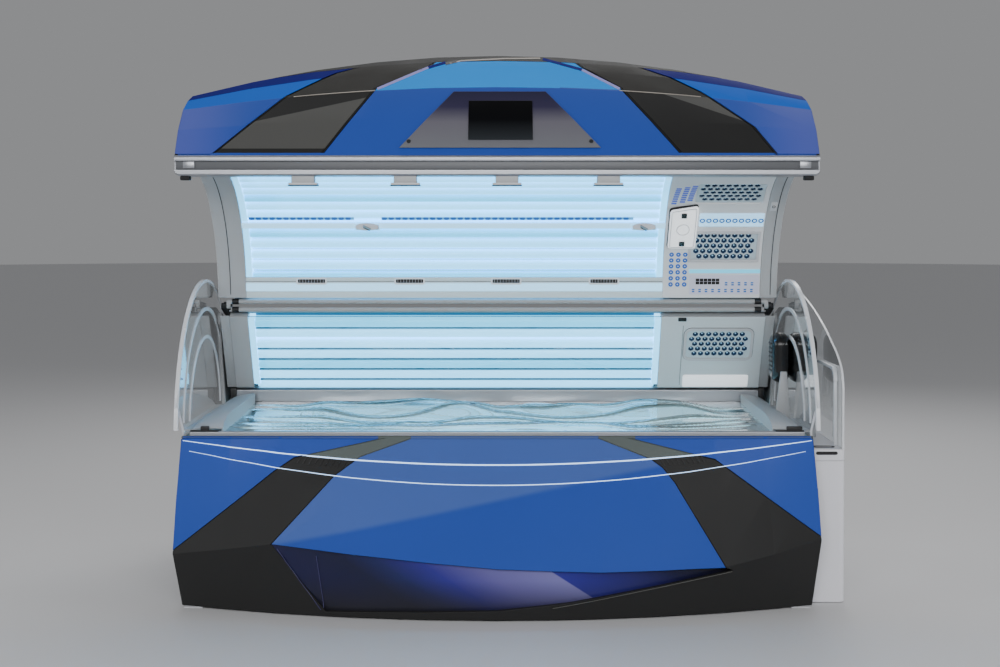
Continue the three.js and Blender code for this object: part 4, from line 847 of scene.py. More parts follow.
arch_centre = (0.44, 0.655)
arch_ribs = []
for side in ("left", "right"):
    dress_pane(f"arch_pane_{side}")
    pane_low, pane_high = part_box(f"arch_pane_{side}")
    middle_x = (pane_low.x + pane_high.x) / 2 - bed_origin.x
    arch_ribs.append(bent_bar(middle_x, 0.44, 0.645, 0.5525, 0.015, 0.0105, 3, 177, 72))
    for rib_radius in (0.43, 0.318):
        arch_ribs.append(bent_bar(middle_x, *arch_centre, rib_radius, 0.013, 0.014, 4, 176, 56))
settle("arch_ribs", gather(arch_ribs), polished_edge_highlight, "base")
pod = dress("air_pod", black_gloss, edge=0.032)
pod.modifiers["rounded_edges"].segments = 6
pod_low, pod_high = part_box("air_pod")
pod_slats = []
for i in range(7):
    z = pod_low.z + 0.045 + i * 0.018
    low = Vector((pod_low.x - 0.0015, pod_low.y + 0.03, z))
    pod_slats.append(block(low, Vector((pod_low.x + 0.004, pod_high.y - 0.03, z + 0.007)), edge=0.0012))
settle("air_pod_slats", gather(pod_slats), black_moulding, "base")
pod_pane_low, pod_pane_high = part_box("arch_pane_right")
bracket_front, bracket_back = pod_low.y - 0.016, pod_low.y - 0.002
bracket_spans = (
    (pod_low.x + 0.004, pod_pane_low.x - 0.006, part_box("front_rail")[1].z - 0.004, pod_low.z + 0.05),
    (pod_pane_high.x + 0.006, pod_high.x - 0.012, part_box("side_box")[1].z, pod_low.z + 0.035),
)
bracket_taper = 0.62
pod_brackets = []
for x0, x1, foot, tip in bracket_spans:
    bracket = block(Vector((x0, bracket_front, foot)), Vector((x1, bracket_back, tip)), edge=0.003)
    for vert in bracket.verts:
        height = (vert.co.z - foot) / (tip - foot)
        vert.co.x = x1 + (vert.co.x - x1) * (1 - bracket_taper * height) - 0.24 * (x1 - x0) * height
    pod_brackets.append(bracket)
settle("air_pod_brackets", gather(pod_brackets), pale_moulding, "base")

# Side box: a white moulded cabinet beyond the head end with a finger slot in its lid, and a second clear
# pane standing on it, framed by a rib.
side_white = finish("side_white", moulded_skin, paint(232, 232, 238), 0.38)
dress("side_box", side_white, edge=0.002)
outer_low, outer_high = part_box("outer_pane")
outer_marks = (
    (0.05, 0.81), (0.06, 0.845), (0.08, 0.88), (0.15, 0.925), (0.24, 0.962), (0.38, 1.013), (0.52, 1.055),
    (0.66, 1.089), (0.8, 1.116), (0.95, 1.136), (1.02, 1.137), (1.06, 1.118), (1.079, 1.088), (1.085, 1.05),
)


def outer_edge(y):
    """The height of the outer pane's edge at y, smooth through its marks."""
    last = len(outer_marks) - 1
    i = max(k for k in range(last) if outer_marks[k][0] <= y + 1e-9)
    (y0, z0), (y1, z1) = outer_marks[i], outer_marks[i + 1]
    before, after = outer_marks[max(i - 1, 0)], outer_marks[min(i + 2, last)]
    slope0 = (z1 - before[1]) / (y1 - before[0]) * (y1 - y0)
    slope1 = (after[1] - z0) / (after[0] - y0) * (y1 - y0)
    w = (y - y0) / (y1 - y0)
    rise = (3 * w * w - 2 * w ** 3) * (z1 - z0)
    return z0 + rise + (w ** 3 - 2 * w * w + w) * slope0 + (w ** 3 - w * w) * slope1


def outer_place(u, v):
    first, last = outer_marks[0][0], outer_marks[-1][0]
    bunched = (1 - math.cos(math.pi * u)) / 2
    y = first + (last - first) * bunched
    z = outer_low.z + v * (outer_edge(y) - outer_low.z)
    return Vector((outer_low.x, bed_origin.y + y, z))


outer_shape = laid_band(90, 8, outer_place, outer_low.x - outer_high.x)
shift = outer_low.x - min(vert.co.x for vert in outer_shape.verts)
bmesh.ops.translate(outer_shape, vec=(shift, 0, 0), verts=outer_shape.verts)
for face in outer_shape.faces:
    face.material_index = 0 if abs(face.normal.x) > 0.5 else 1
    face.smooth = face.material_index == 1
outer_pane = settle("outer_pane_dressed", outer_shape, pane_acrylic, "base")
outer_pane.data.materials.append(polished_edge_highlight)
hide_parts("outer_pane")
facing_front = Matrix.Rotation(math.pi / 2, 4, "X")
slot_centre = spot(1.2418, 0.11, 0.58)
slot_half, slot_radius = 0.038, 0.014


def plate(width, height, wall, corner, place, steps=4, lip=0.0):
    """A plate with rounded corners that stands up from the XY plane of a place."""
    shape = bmesh.new()
    bmesh.ops.create_grid(shape, x_segments=1, y_segments=1, size=0.5)
    bmesh.ops.scale(shape, vec=(width, height, 1), verts=shape.verts)
    bmesh.ops.bevel(
        shape, geom=shape.verts[:], offset=corner, affect="VERTICES", segments=steps, profile=0.5,
        material=-1,
    )
    raised = bmesh.ops.extrude_face_region(shape, geom=shape.faces[:])["geom"]
    top = [part for part in raised if isinstance(part, bmesh.types.BMVert)]
    bmesh.ops.translate(shape, vec=(0, 0, wall), verts=top)
    if lip:
        rim = [edge for edge in shape.edges if all(vert.co.z > wall / 2 for vert in edge.verts)]
        bmesh.ops.bevel(
            shape, geom=rim, offset=lip, affect="EDGES", segments=2, profile=0.5, material=-1
        )
    bmesh.ops.recalc_face_normals(shape, faces=shape.faces)
    bmesh.ops.transform(shape, matrix=place, verts=shape.verts)
    shade_by_angle(shape, 40)
    return shape


def ring(width, height, rim, wall, corner, place, steps=4):
    """An open frame with rounded corners that stands up from the XY plane of a place."""
    shape = bmesh.new()
    bmesh.ops.create_grid(shape, x_segments=1, y_segments=1, size=0.5)
    bmesh.ops.scale(shape, vec=(width, height, 1), verts=shape.verts)
    bmesh.ops.bevel(
        shape, geom=shape.verts[:], offset=corner, affect="VERTICES", segments=steps, profile=0.5,
        material=-1,
    )
    inner = shape.faces[:]
    bmesh.ops.inset_individual(shape, faces=inner, thickness=rim)
    bmesh.ops.delete(shape, geom=inner, context="FACES")
    raised = bmesh.ops.extrude_face_region(shape, geom=shape.faces[:])["geom"]
    top = [part for part in raised if isinstance(part, bmesh.types.BMVert)]
    bmesh.ops.translate(shape, vec=(0, 0, wall), verts=top)
    bmesh.ops.recalc_face_normals(shape, faces=shape.faces)
    bmesh.ops.transform(shape, matrix=place, verts=shape.verts)
    shade_by_angle(shape, 40)
    return shape


slot_rim = ring(
    2 * slot_half + 0.008, 2 * slot_radius + 0.008, 0.0045, 0.0025, 0.0175, Matrix.Translation(slot_centre)
)
slot_floor = plate(
    2 * slot_half - 0.002, 2 * slot_radius - 0.002, 0.003, 0.0125,
    Matrix.Translation(slot_centre - Vector((0, 0, 0.0296))),
)
settle("finger_slot_liner", gather([slot_rim, slot_floor]), black_moulding, "base")
# A thin black strip under the finger slot is a painted shadow, where the lid's ledge overhangs the face.
ledge_shadow = plate(0.082, 0.0125, 0.0012, 0.006, Matrix.Translation(spot(1.2418, 0.0502, 0.5655)) @ facing_front)
settle("lid_ledge_shadow", ledge_shadow, black_moulding, "base")
post_x = outer_low.x - bed_origin.x - 0.0082
post = [
    block(spot(post_x - 0.007, 0.128, 0.581), spot(post_x + 0.007, 0.142, 0.828), edge=0.005),
    block(spot(post_x - 0.007, 0.182, 0.869), spot(post_x + 0.007, 0.64, 0.883), edge=0.005),
    bent_bar(post_x, 0.183, 0.828, 0.048, 0.014, 0.014, 90, 180, 12),
]
settle("outer_pane_post", gather(post), polished_edge_highlight, "base")

# Rear lamp panel: a pale moulding that leans over the back of the bench, with seven tubes behind a clear
# sheet, and at the head end a framed honeycomb grille over a bare service plate.
rear_panel = dress("rear_panel", pale_moulding, edge=0.0025)
service_pale = finish("service_pale", moulded_skin, paint(216, 224, 228), 0.4)
rear_panel.data.materials.append(service_pale)
for face in rear_panel.data.polygons:
    face.material_index = 1 if face.center.x > bed_origin.x + 0.7 and face.normal.y < -0.5 else 0
lamp_window = clear_acrylic("lamp_window", paint(232, 249, 253), roughness=0.11)
rear_window = clear_acrylic("rear_window", paint(232, 249, 253), roughness=0.02)
dress("rear_acrylic", rear_window, edge=0.001)
panel_foot = Vector((0.8, 0.727))
panel_head = Vector((0.626, 1.04))
panel_up = (panel_head - panel_foot).normalized()
panel_length = (panel_head - panel_foot).length


def on_rear(x, along, depth):
    """A place on the rear panel: X along the bed, Y up the slope, Z out of its face."""
    y = panel_foot.x + panel_up.x * along + panel_up.y * depth
    z = panel_foot.y + panel_up.y * along - panel_up.x * depth
    columns = Matrix((
        (1, 0, 0, 0),
        (0, panel_up.x, -panel_up.y, 0),
        (0, panel_up.y, panel_up.x, 0),
        (0, 0, 0, 1),
    ))
    return Matrix.Translation(spot(x, y, z)) @ columns


field_low, field_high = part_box("rear_lamps")
rear_lamp_count = 7
rear_lamp_pitch = 0.0517
rear_lamp_start = 0.008
lamp_bank(
    "rear_lamps", field_low.x + 0.002, field_high.x - 0.002,
    [on_rear(0, rear_lamp_start + i * rear_lamp_pitch, 0.03).translation.yz for i in range(rear_lamp_count)],
    lamp_glow, tinted=(2, 6), radius=0.0236,
)
field_middle = (field_low.x + field_high.x) / 2 - bed_origin.x
field_half = (field_high.x - field_low.x) / 2
reflector_sheet = plate(
    2 * field_half - 0.004, panel_length - 0.03, 0.0015, 0.004, on_rear(field_middle, panel_length / 2, 0.0535)
)
shaded_reflector = finish("shaded_reflector", drawn_skin, paint(84, 128, 148), 0.4, Metallic=0.2)
settle("rear_reflector_sheet", reflector_sheet, shaded_reflector, "base")
# The holders glow in the lamps' colour: painted light where they would fall in shade beside the tubes.
holders = []
for x in (-field_half + 0.0125, field_half - 0.0125):
    holders.append(plate(
        0.024, panel_length - 0.03, 0.044, 0.003, on_rear(field_middle + x, panel_length / 2, 0.052)
    ))
settle("rear_lamp_holders", gather(holders), lamp_glow, "base")
# Dark teal strips in the gaps between the tubes are painted shade, where the gaps fall dark.
gap_shadows = []
for gap, width in ((0, 0.0042), (1, 0.0042), (2, 0.0042), (3, 0.0036), (5, 0.002)):
    along = rear_lamp_start + (gap + 0.5) * rear_lamp_pitch
    gap_shadows.append(plate(2 * field_half - 0.05, width, 0.02, 0.0008, on_rear(field_middle, along, 0.034), steps=1))
gap_shadow_teal = finish("gap_shadow_teal", moulded_skin, paint(40, 84, 100), 0.5)
settle("rear_lamp_gap_shadows", gather(gap_shadows), gap_shadow_teal, "base")

filler_width = 0.038
fillers = []
for x in (-1.1105 - filler_width / 2, 1.1105 + filler_width / 2):
    fillers.append(plate(filler_width, panel_length, 0.006, 0.002, on_rear(x, panel_length / 2, 0.01), lip=0.0012))
settle("rear_panel_fillers", gather(fillers), pale_moulding, "base")

# Honeycomb grilles: pale blue plates of hexagon holes over the face lamps, each hole lined with a dark
# blue cell with a small light at its middle.
grille_web = finish("grille_web", moulded_skin, paint(204, 220, 228), 0.4, relief=0.0001)
cell_blue = finish("cell_blue", moulded_skin, paint(14, 56, 94), 0.5, relief=0.0001)
cell_light = lit("cell_light", paint(150, 196, 226), 0.55)
hex_pitch = 0.028
hex_row_pitch = hex_pitch * math.sqrt(3) / 2
hex_rows = 5
hex_columns = 9
grille_width, grille_height = 0.268, 0.139


def cell(radius, rim, wall, place, sides=6):
    """A short tube or, with no rim, a disc, that stands up from the XY plane of a place."""
    shape = bmesh.new()
    bmesh.ops.create_circle(shape, cap_ends=True, segments=sides, radius=radius)
    if rim:
        inner = shape.faces[:]
        bmesh.ops.inset_individual(shape, faces=inner, thickness=rim)
        bmesh.ops.delete(shape, geom=inner, context="FACES")
    raised = bmesh.ops.extrude_face_region(shape, geom=shape.faces[:])["geom"]
    top = [part for part in raised if isinstance(part, bmesh.types.BMVert)]
    bmesh.ops.translate(shape, vec=(0, 0, wall), verts=top)
    bmesh.ops.recalc_face_normals(shape, faces=shape.faces)
    bmesh.ops.transform(shape, matrix=place, verts=shape.verts)
    shade_by_angle(shape, 50)
    return shape


def dress_grille(node, place, forward):
    """The plate of a grille, pulled forward to its frame, with the cells, lights and back plate behind it."""
    shape = merged_copy(node)
    out = place.to_3x3() @ Vector((0, 0, forward))
    bmesh.ops.translate(shape, vec=out, verts=shape.verts)
    bmesh.ops.dissolve_limit(shape, angle_limit=math.radians(0.4), verts=shape.verts, edges=shape.edges)
    shade_by_angle(shape, 30)
    web = settle(f"{node}_dressed", shape, grille_web, body_of_node[node])
    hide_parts(node)
    place = Matrix.Translation(out) @ place
    cells, lights = [], []
    for row in range(hex_rows):
        count = hex_columns - 1 + row % 2
        y = (row - (hex_rows - 1) / 2) * hex_row_pitch
        for i in range(count):
            x = (i - (count - 1) / 2) * hex_pitch
            cells.append(cell(0.0132, 0.0042, 0.006, place @ Matrix.Translation((x, y, -0.0045))))
            lights.append(cell(0.003, 0, 0.003, place @ Matrix.Translation((x, y, -0.0045))))
    back = plate(
        grille_width - 0.014, grille_height - 0.014, 0.002, 0.01, place @ Matrix.Translation((0, 0, -0.0062))
    )
    cells.append(back)
    body = body_of_node[node]
    settle(f"{node}_cells", gather(cells), cell_blue, body)
    settle(f"{node}_lights", gather(lights), cell_light, body)


grille_x = 0.923
dark_seam = finish("dark_seam", moulded_skin, paint(92, 98, 102), 0.5)
rear_grille_along = 0.62 * panel_length
dress_grille("honeycomb_rear", on_rear(grille_x, rear_grille_along, 0.02), 0.0125)
grille_frame = ring(
    grille_width + 0.022, grille_height + 0.022, 0.0112, 0.005, 0.03,
    on_rear(grille_x, rear_grille_along, 0.0002),
)
settle("rear_grille_frame", grille_frame, white_case, "base")
frame_seam = ring(
    grille_width + 0.026, grille_height + 0.026, 0.002, 0.0016, 0.032, on_rear(grille_x, rear_grille_along, 0.0002)
)
service_seam = plate(0.0018, 0.3, 0.0012, 0.0005, on_rear(0.772, 0.165, 0.0002), steps=1)
settle("rear_panel_seams", gather([frame_seam, service_seam]), dark_seam, "base")
# The white service plate glows: painted light standing for the light on its glossy face.
service_white = lit("service_white", paint(246, 247, 250), 0.7)
service_plate = plate(0.276, 0.06, 0.004, 0.008, on_rear(grille_x, 0.036, 0.0002), lip=0.0015)
settle("rear_service_plate", service_plate, service_white, "base")
panel_latch = plate(0.034, 0.016, 0.006, 0.003, on_rear(0.766, 0.347, 0.0002), lip=0.001)
settle("rear_panel_latch", panel_latch, black_moulding, "base")

# Hinge: two long aluminium rails, the lower on the bench and the upper on the canopy, turning on stub
# pins in brackets on the rear posts. Nylon sleeves keep the rails apart near the ends.
dark_steel = finish("dark_steel", moulded_skin, paint(52, 54, 57), 0.45, grain=900.0, Metallic=0.5)
hinge_satin = finish("hinge_satin", drawn_skin, paint(170, 172, 174), 0.5, drift=0.08, Specular_IOR_Level=0.3)
dress("base_hinge_rail", hinge_satin, edge=0.001, crease=40)
dress("canopy_hinge_rail", hinge_satin, edge=0.001, crease=40)
for side in ("left", "right"):
    dress(f"hinge_bracket_{side}", dark_steel, edge=0.0015, crease=40)
hinge_y, hinge_z = 0.615, 1.088
rail_offset = 0.0165
for name, body, offset in (("hinge_sleeves_lower", "base", -1), ("hinge_sleeves_upper", "canopy", 1)):
    place = spot(0, hinge_y, hinge_z + offset * rail_offset)
    sleeves = []
    for x0, x1 in ((-1.094, -1.067), (1.061, 1.088)):
        sleeves.append(round_bar(bed_origin.x + x0, bed_origin.x + x1, place.y, place.z, 0.0118, 0.0118))
    settle(name, gather(sleeves), black_moulding, body)

# Back: a folded charcoal cover with a guarded fan opening, louvres to each side of it and screws along
# the edges. The fan is a moulded rotor on a motor in the guard's hub.
cover = dress("rear_cover", charcoal, edge=0.003, flatten=0)
dress("fan_rotor", black_gloss, edge=0.0012)
dress("ballast_box", powder_coat, edge=0.003)
cover_low, cover_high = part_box("rear_cover")
back_inset = 0.0032
for vert in cover.data.vertices:
    if vert.co.y > cover_high.y - 0.0005:
        vert.co.y -= back_inset
fan_centre = Vector((bed_origin.x, cover_high.y, 0.33))
facing_back = Matrix.Rotation(-math.pi / 2, 4, "X")
guard = [
    cell(radius, 0.0035, 0.0035, Matrix.Translation(fan_centre - Vector((0, 0.006, 0))) @ facing_back, sides=40)
    for radius in (0.06, 0.075, 0.107, 0.122, 0.137)
]
settle("fan_guard_rings", gather(guard), dark_steel, "base")
louvre_count = 9
louvres = []
for x in (-0.82, -0.5, 0.5, 0.82):
    for i in range(louvre_count):
        z = 0.2 + i * 0.032
        low = Vector((bed_origin.x + x - 0.11, cover_high.y - 0.004, z))
        slat = block(low, Vector((bed_origin.x + x + 0.11, cover_high.y - 0.0005, z + 0.014)), edge=0.0012)
        louvres.append(slat)
settle("cover_louvres", gather(louvres), black_moulding, "base")
cover_screws = []
for x in (-1.12, -0.56, 0.0, 0.56, 1.12):
    for z in (0.06, 0.8):
        place = Matrix.Translation(Vector((bed_origin.x + x, cover_high.y - 0.0025, z))) @ facing_back
        cover_screws.append(cell(0.008, 0, 0.002, place, sides=12))
settle("cover_screws", gather(cover_screws), drawn_aluminium, "base")

# Canopy inside: a bent tray with fourteen tubes behind two clear sheets, a bar between the sheets with a
# row of small lights and two tilting air nozzles, and a vent strip along the hinge.
dress("canopy_tray", bright_aluminium, edge=0.0015)
dress("canopy_acrylic_upper", lamp_window, edge=0.0008)
dress("canopy_acrylic_lower", lamp_window, edge=0.0008)
# The centre bar glows: painted light from the tubes on each side of it.
dress("centre_bar", bar_painted_glow, edge=0.001)
# The vent strip glows faintly: painted light from the tubes beside it.
vent_painted_glow = lit("vent_painted_glow", paint(204, 222, 228), 0.14)
dress("vent_strip", vent_painted_glow, edge=0.0008)
for side in ("left", "right"):
    dress(f"nozzle_{side}", white_case, edge=0.004)
    dress(f"canopy_cheek_{side}", pale_moulding, edge=0.003)
tunnel_y, tunnel_z = 0.05, 1.086


def on_arc(x, radius, angle):
    """A place on the tunnel's arc: X along the bed, Y up the arc, Z into the tunnel."""
    turn = math.radians(angle)
    centre = spot(x, tunnel_y + radius * math.cos(turn), tunnel_z + radius * math.sin(turn))
    return Matrix.Translation(centre) @ Matrix.Rotation(turn + math.pi / 2, 4, "X")


field_low, field_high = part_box("canopy_lamps")
canopy_lamp_count = 14
canopy_lamp_step = 4.801
lamp_bank(
    "canopy_lamps", field_low.x + 0.002, field_high.x - 0.002,
    [on_arc(0, 0.58, 7.59 + i * canopy_lamp_step).translation.yz for i in range(canopy_lamp_count)],
    lamp_glow, tinted=(1, 5, 9),
)
# The holders glow in the lamps' colour: painted light where they would fall in shade beside the tubes.
holders = []
for x in (field_low.x + 0.0125, field_high.x - 0.0125):
    holders.append(bent_bar(x - bed_origin.x, tunnel_y, tunnel_z, 0.581, 0.024, 0.044, 6, 72, 24))
settle("canopy_lamp_holders", gather(holders), lamp_glow, "canopy")
blue_led = lit("blue_led", paint(26, 92, 176), 0.4)
dash_pitch = 0.0278
dashes, carriers = [], []
for first, last in ((-0.99, -0.565), (-0.455, 0.56)):
    middle = (first + last) / 2 - 0.012
    carriers.append(bent_bar(middle, tunnel_y, tunnel_z, 0.55, last - first, 0.0008, 40.4, 41.9, 3))
    for i in range(int((last - first) / dash_pitch)):
        dashes.append(plate(0.021, 0.015, 0.0012, 0.003, on_arc(first + i * dash_pitch, 0.5495, 41.15), steps=1))
settle("sheet_lights", gather(dashes), blue_led, "canopy")
carrier_blue = lit("carrier_blue", paint(92, 170, 222), 0.5)
settle("sheet_light_carriers", gather(carriers), carrier_blue, "canopy")
nozzle_angle = 38.4
nozzle_pearl = finish("nozzle_pearl", moulded_skin, paint(238, 232, 236), 0.35)
for side, x in (("left", -0.5254), ("right", 0.5911)):
    nozzle_face = on_arc(x, 0.5304, nozzle_angle)
    oval = cell(0.047, 0, 0.003, nozzle_face @ Matrix.Diagonal((1, 0.4, 1, 1)), sides=40)
    settle(f"nozzle_oval_{side}", oval, nozzle_pearl, f"air_nozzle_{side}")
    turned = nozzle_face @ Matrix.Translation((0, -0.002, 0.0032)) @ Matrix.Rotation(math.radians(-34), 4, "Z")
    flap = plate(0.036, 0.008, 0.003, 0.002, turned, lip=0.0008)
    settle(f"nozzle_flap_{side}", flap, drawn_aluminium, f"air_nozzle_{side}")
    # A thin black strip below each flap is a painted shadow of the flap.
    flap_shadow = plate(0.03, 0.004, 0.001, 0.001, turned @ Matrix.Translation((0.003, -0.008, 0)))
    settle(f"nozzle_flap_shadow_{side}", flap_shadow, black_moulding, f"air_nozzle_{side}")
vent_frames, vent_floors, vent_fins = [], [], []
for x in (-0.764, -0.361, 0.036, 0.438):
    vent_frames.append(ring(0.126, 0.03, 0.007, 0.003, 0.008, on_arc(x, 0.5479, 11.0)))
    vent_floors.append(plate(0.112, 0.0155, 0.001, 0.004, on_arc(x, 0.5478, 11.0)))
    for i in range(9):
        vent_fins.append(plate(0.0018, 0.015, 0.0012, 0.0005, on_arc(x - 0.048 + i * 0.012, 0.5469, 11.0), steps=1))
frame_white = finish("frame_white", moulded_skin, paint(244, 246, 248), 0.35)
settle("vent_frames", gather(vent_frames), frame_white, "canopy")
settle("vent_grilles", gather(vent_floors), black_moulding, "canopy")
settle("vent_grille_fins", gather(vent_fins), pale_moulding, "canopy")
seams = [
    bent_bar(-1.098, tunnel_y, tunnel_z, 0.5478, 0.0025, 0.003, 5, 73, 40),
    bent_bar(1.122, tunnel_y, tunnel_z, 0.5478, 0.0025, 0.003, 5, 73, 40),
]
settle("cheek_beads", gather(seams), dark_steel, "canopy")
cheek_window = plate(0.026, 0.052, 0.002, 0.004, on_arc(1.104, 0.5478, 48.5), lip=0.0006)
settle("cheek_window", cheek_window, white_case, "canopy")
cheek_ring = cell(0.007, 0.002, 0.001, on_arc(1.104, 0.5457, 48.5), sides=20)
settle("cheek_window_ring", cheek_ring, dark_steel, "canopy")

# Head unit: a pale curved panel over the face with two honeycomb grilles, lit strips between them, blue
# indicator lights and a white control panel with two square keys.
head_pale = finish("head_pale", moulded_skin, paint(234, 236, 238), 0.42)
dress("head_unit", head_pale, edge=0.003)
arc_face = 0.5478
grille_seat = 0.5624
for node, angle in (("honeycomb_upper", 57.5), ("honeycomb_lower", 27.0)):
    dress_grille(node, on_arc(grille_x, grille_seat, angle), 0.007)


def arc_plate(width, start, end, wall, x, steps=6, radius=arc_face):
    """A thin plate that follows the tunnel's arc, its angles in degrees."""
    return bent_bar(x, tunnel_y, tunnel_z, radius - wall / 2, width, wall, start, end, steps)


strip_length = 1.711
strip_middle = -0.1775
# The band along the vent glows: painted light from the tubes falling on it.
vent_glow = arc_plate(strip_length, 6.6, 10.0, 0.0015, strip_middle)
settle("vent_painted_glow_strip", vent_glow, bar_painted_glow, "canopy")
vent_seam = arc_plate(strip_length, 10.75, 10.95, 0.001, strip_middle)
settle("vent_seam", vent_seam, dark_steel, "canopy")
strip_blue = lit("strip_blue", paint(160, 214, 250), 1.2)
settle("face_light_strip", arc_plate(0.258, 37.2, 44.2, 0.003, 0.944), strip_blue, "canopy")
cyan_bar = lit("cyan_bar", paint(96, 200, 235), 0.9)
settle("face_light_bar", arc_plate(0.29, 14.6, 16.2, 0.003, 0.932), cyan_bar, "canopy")
strip_rings = []
for i in range(10):
    x = 0.826 + i * 0.0262
    strip_rings.append(cell(0.0112, 0.0052, 0.0012, on_arc(x, arc_face - 0.0031, 40.4), sides=16))
ring_blue = lit("ring_blue", paint(24, 104, 180), 0.2)
settle("face_strip_rings", gather(strip_rings), ring_blue, "canopy")
lower_frame = []
for angle, reach in ((20.2, 0.55), (33.8, 0.55)):
    lower_frame.append(arc_plate(0.29, angle - reach, angle + reach, 0.005, grille_x))
for x in (grille_x - 0.1395, grille_x + 0.1395):
    lower_frame.append(arc_plate(0.011, 19.65, 34.35, 0.005, x, steps=10))
settle("lower_grille_frame", gather(lower_frame), white_case, "canopy")
lavender = finish("lavender_panel", moulded_skin, paint(222, 222, 240), 0.35)
settle("speaker_panel", arc_plate(0.288, 5.2, 13.8, 0.0025, 0.932), lavender, "canopy")
speaker_holes = []
for column in range(6):
    for row in range(2):
        place = on_arc(0.822 + column * 0.0165, arc_face - 0.0026, 10.2 + row * 1.35)
        speaker_holes.append(plate(0.0146, 0.0116, 0.001, 0.001, place, steps=1))
settle("speaker_slots", gather(speaker_holes), black_moulding, "canopy")
led_grid = []
for count, first, angle in ((10, 0.805, 6.4), (5, 0.94, 9.4)):
    for i in range(count):
        for pair in (0, 0.9):
            place = on_arc(first + i * 0.0266, arc_face - 0.0026, angle + pair)
            led_grid.append(plate(0.011, 0.0055, 0.001, 0.001, place, steps=1))
violet_dashes = []
for x, first in ((0.7035, 50.4), (0.7365, 51.4), (0.7655, 52.6)):
    for i in range(8):
        place = on_arc(x + i * 0.0016, arc_face - 0.0001, first + i * 1.5)
        violet_dashes.append(plate(0.021, 0.0095, 0.001, 0.001, place, steps=1))
violet_led = lit("violet_led", paint(70, 92, 190), 0.4)
settle("indicator_column", gather(violet_dashes), violet_led, "canopy")
settle("indicator_dashes", gather(led_grid), ring_blue, "canopy")
ring_lights = []
for column in range(3):
    for row in range(6):
        place = on_arc(0.712 + column * 0.028, arc_face - 0.0001, 9.5 + row * 2.7)
        ring_lights.append(cell(0.0096, 0.0066, 0.0012, place, sides=16))
settle("indicator_rings", gather(ring_lights), blue_led, "canopy")
# The white face glows: painted light lifting the shade it lies in.
panel_white = lit("panel_white", paint(246, 247, 250), 0.75)
touch_x, touch_radius, touch_angle = 0.748, 0.53917, 37.0
touch_face = on_arc(touch_x, touch_radius, touch_angle) @ Matrix.Translation((0, 0, 0.0159))
touch_half = Vector((0.056, 0.096))
touch_slant = 0.2


def slant_head(mesh):
    """Raise the upper edge of the control panel towards the head end."""
    for vert in mesh.vertices:
        local = touch_face.inverted() @ vert.co
        if local.y > 0:
            local.y += touch_slant * (local.x + touch_half.x) * local.y / touch_half.y
            vert.co = touch_face @ local


slant_head(dress("touch_panel", panel_white, edge=0.002).data)
# A black plate behind the panel, showing at its left and upper edges, is a painted shadow where the proud panel
# shades the face behind it.
shadow_edge_place = touch_face @ Matrix.Translation((-0.002, 0.003, -0.0145))
shadow_edge = plate(2 * touch_half.x + 0.003, 2 * touch_half.y + 0.004, 0.008, 0.012, shadow_edge_place)
shadow_edge_piece = settle("touch_panel_shadow_edge", shadow_edge, black_moulding, "canopy")
slant_head(shadow_edge_piece.data)
bezel = ring(0.1, 0.18, 0.0025, 0.0012, 0.01, touch_face)
wheel = cell(0.026, 0.002, 0.0012, touch_face, sides=32)
bezel_piece = settle("touch_panel_bezel", gather([bezel, wheel]), pale_moulding, "canopy")
slant_head(bezel_piece.data)
for key in ("key_upper", "key_lower"):
    dress(key, black_gloss, edge=0.001)

# Canopy hood: a charcoal shell with two dark inserts, lacquered blue wings and a blue centre panel
# pressed into it, creased along the brow. Above the crease the lacquer is painted paler, a painted
# highlight, and darkest at the rear, painted shade.
shell = dress("canopy_shell", charcoal, edge=0.024, crease=9, flatten=0)
shell.modifiers["rounded_edges"].segments = 4
shell.modifiers["rounded_edges"].use_clamp_overlap = True
# Painted light on the hood: a paler blue above the brow crease as painted highlight, a dark blue above the rear
# crease as painted shade.
hood_lit_and_shaded_lacquers = [
    finish(
        name, moulded_skin, colour, 0.6, drift=0.05, smear=0.05, grain=160.0, relief=0.00004,
        Specular_IOR_Level=0.02,
    )
    for name, colour in (
        ("brow_blue_painted_highlight", paint(34, 152, 244)), ("wing_blue_painted_highlight", paint(32, 100, 204)), ("rear_blue_painted_shade", paint(24, 28, 118)),
    )
]
brow_crease = (1.955, 0.0901)
rear_crease = (2.0419, 0.136)
hood_half = 1.205


def above_crease(point, crease):
    """Whether a point lies above a crease that falls from its middle height towards the ends."""
    s = (point.x - bed_origin.x) / hood_half
    return point.z > crease[0] - crease[1] * s * s


# The wings turn lilac towards their outer ends: a painted reflection.
wing_sheen_lacquers = [
    lacquer_with_painted_light(name, (outwards, 0.0, 0.0), start, start + 0.3, (42, 77, 168), (78, 92, 176), Specular_IOR_Level=0.2)
    for name, outwards, start in (("wing_painted_sheen_left", -1.0, 0.95), ("wing_painted_sheen_right", 1.0, 0.82))
]
for panel, lacquer, brow, rear in (
    ("canopy_centre_panel", blue_lacquer, 1, 1), ("canopy_wing_left", wing_sheen_lacquers[0], 2, 3),
    ("canopy_wing_right", wing_sheen_lacquers[1], 2, 3),
):
    mesh = dress(panel, lacquer, edge=0.004, crease=13, flatten=0).data
    for lacquer in hood_lit_and_shaded_lacquers:
        mesh.materials.append(lacquer)
    for face in mesh.polygons:
        if above_crease(face.center, rear_crease):
            face.material_index = rear
        elif above_crease(face.center, brow_crease):
            face.material_index = brow
# The paler grey on one side of each insert's line is a painted reflection.
insert_painted_reflection = finish(
    "insert_painted_reflection", moulded_skin, paint(80, 80, 78), 0.5, grain=900.0, relief=0.0003, Specular_IOR_Level=0.25
)
insert_brow = finish(
    "insert_brow", moulded_skin, paint(36, 35, 32), 0.55, grain=900.0, relief=0.0003, Specular_IOR_Level=0.12
)
insert_lip = 1.711


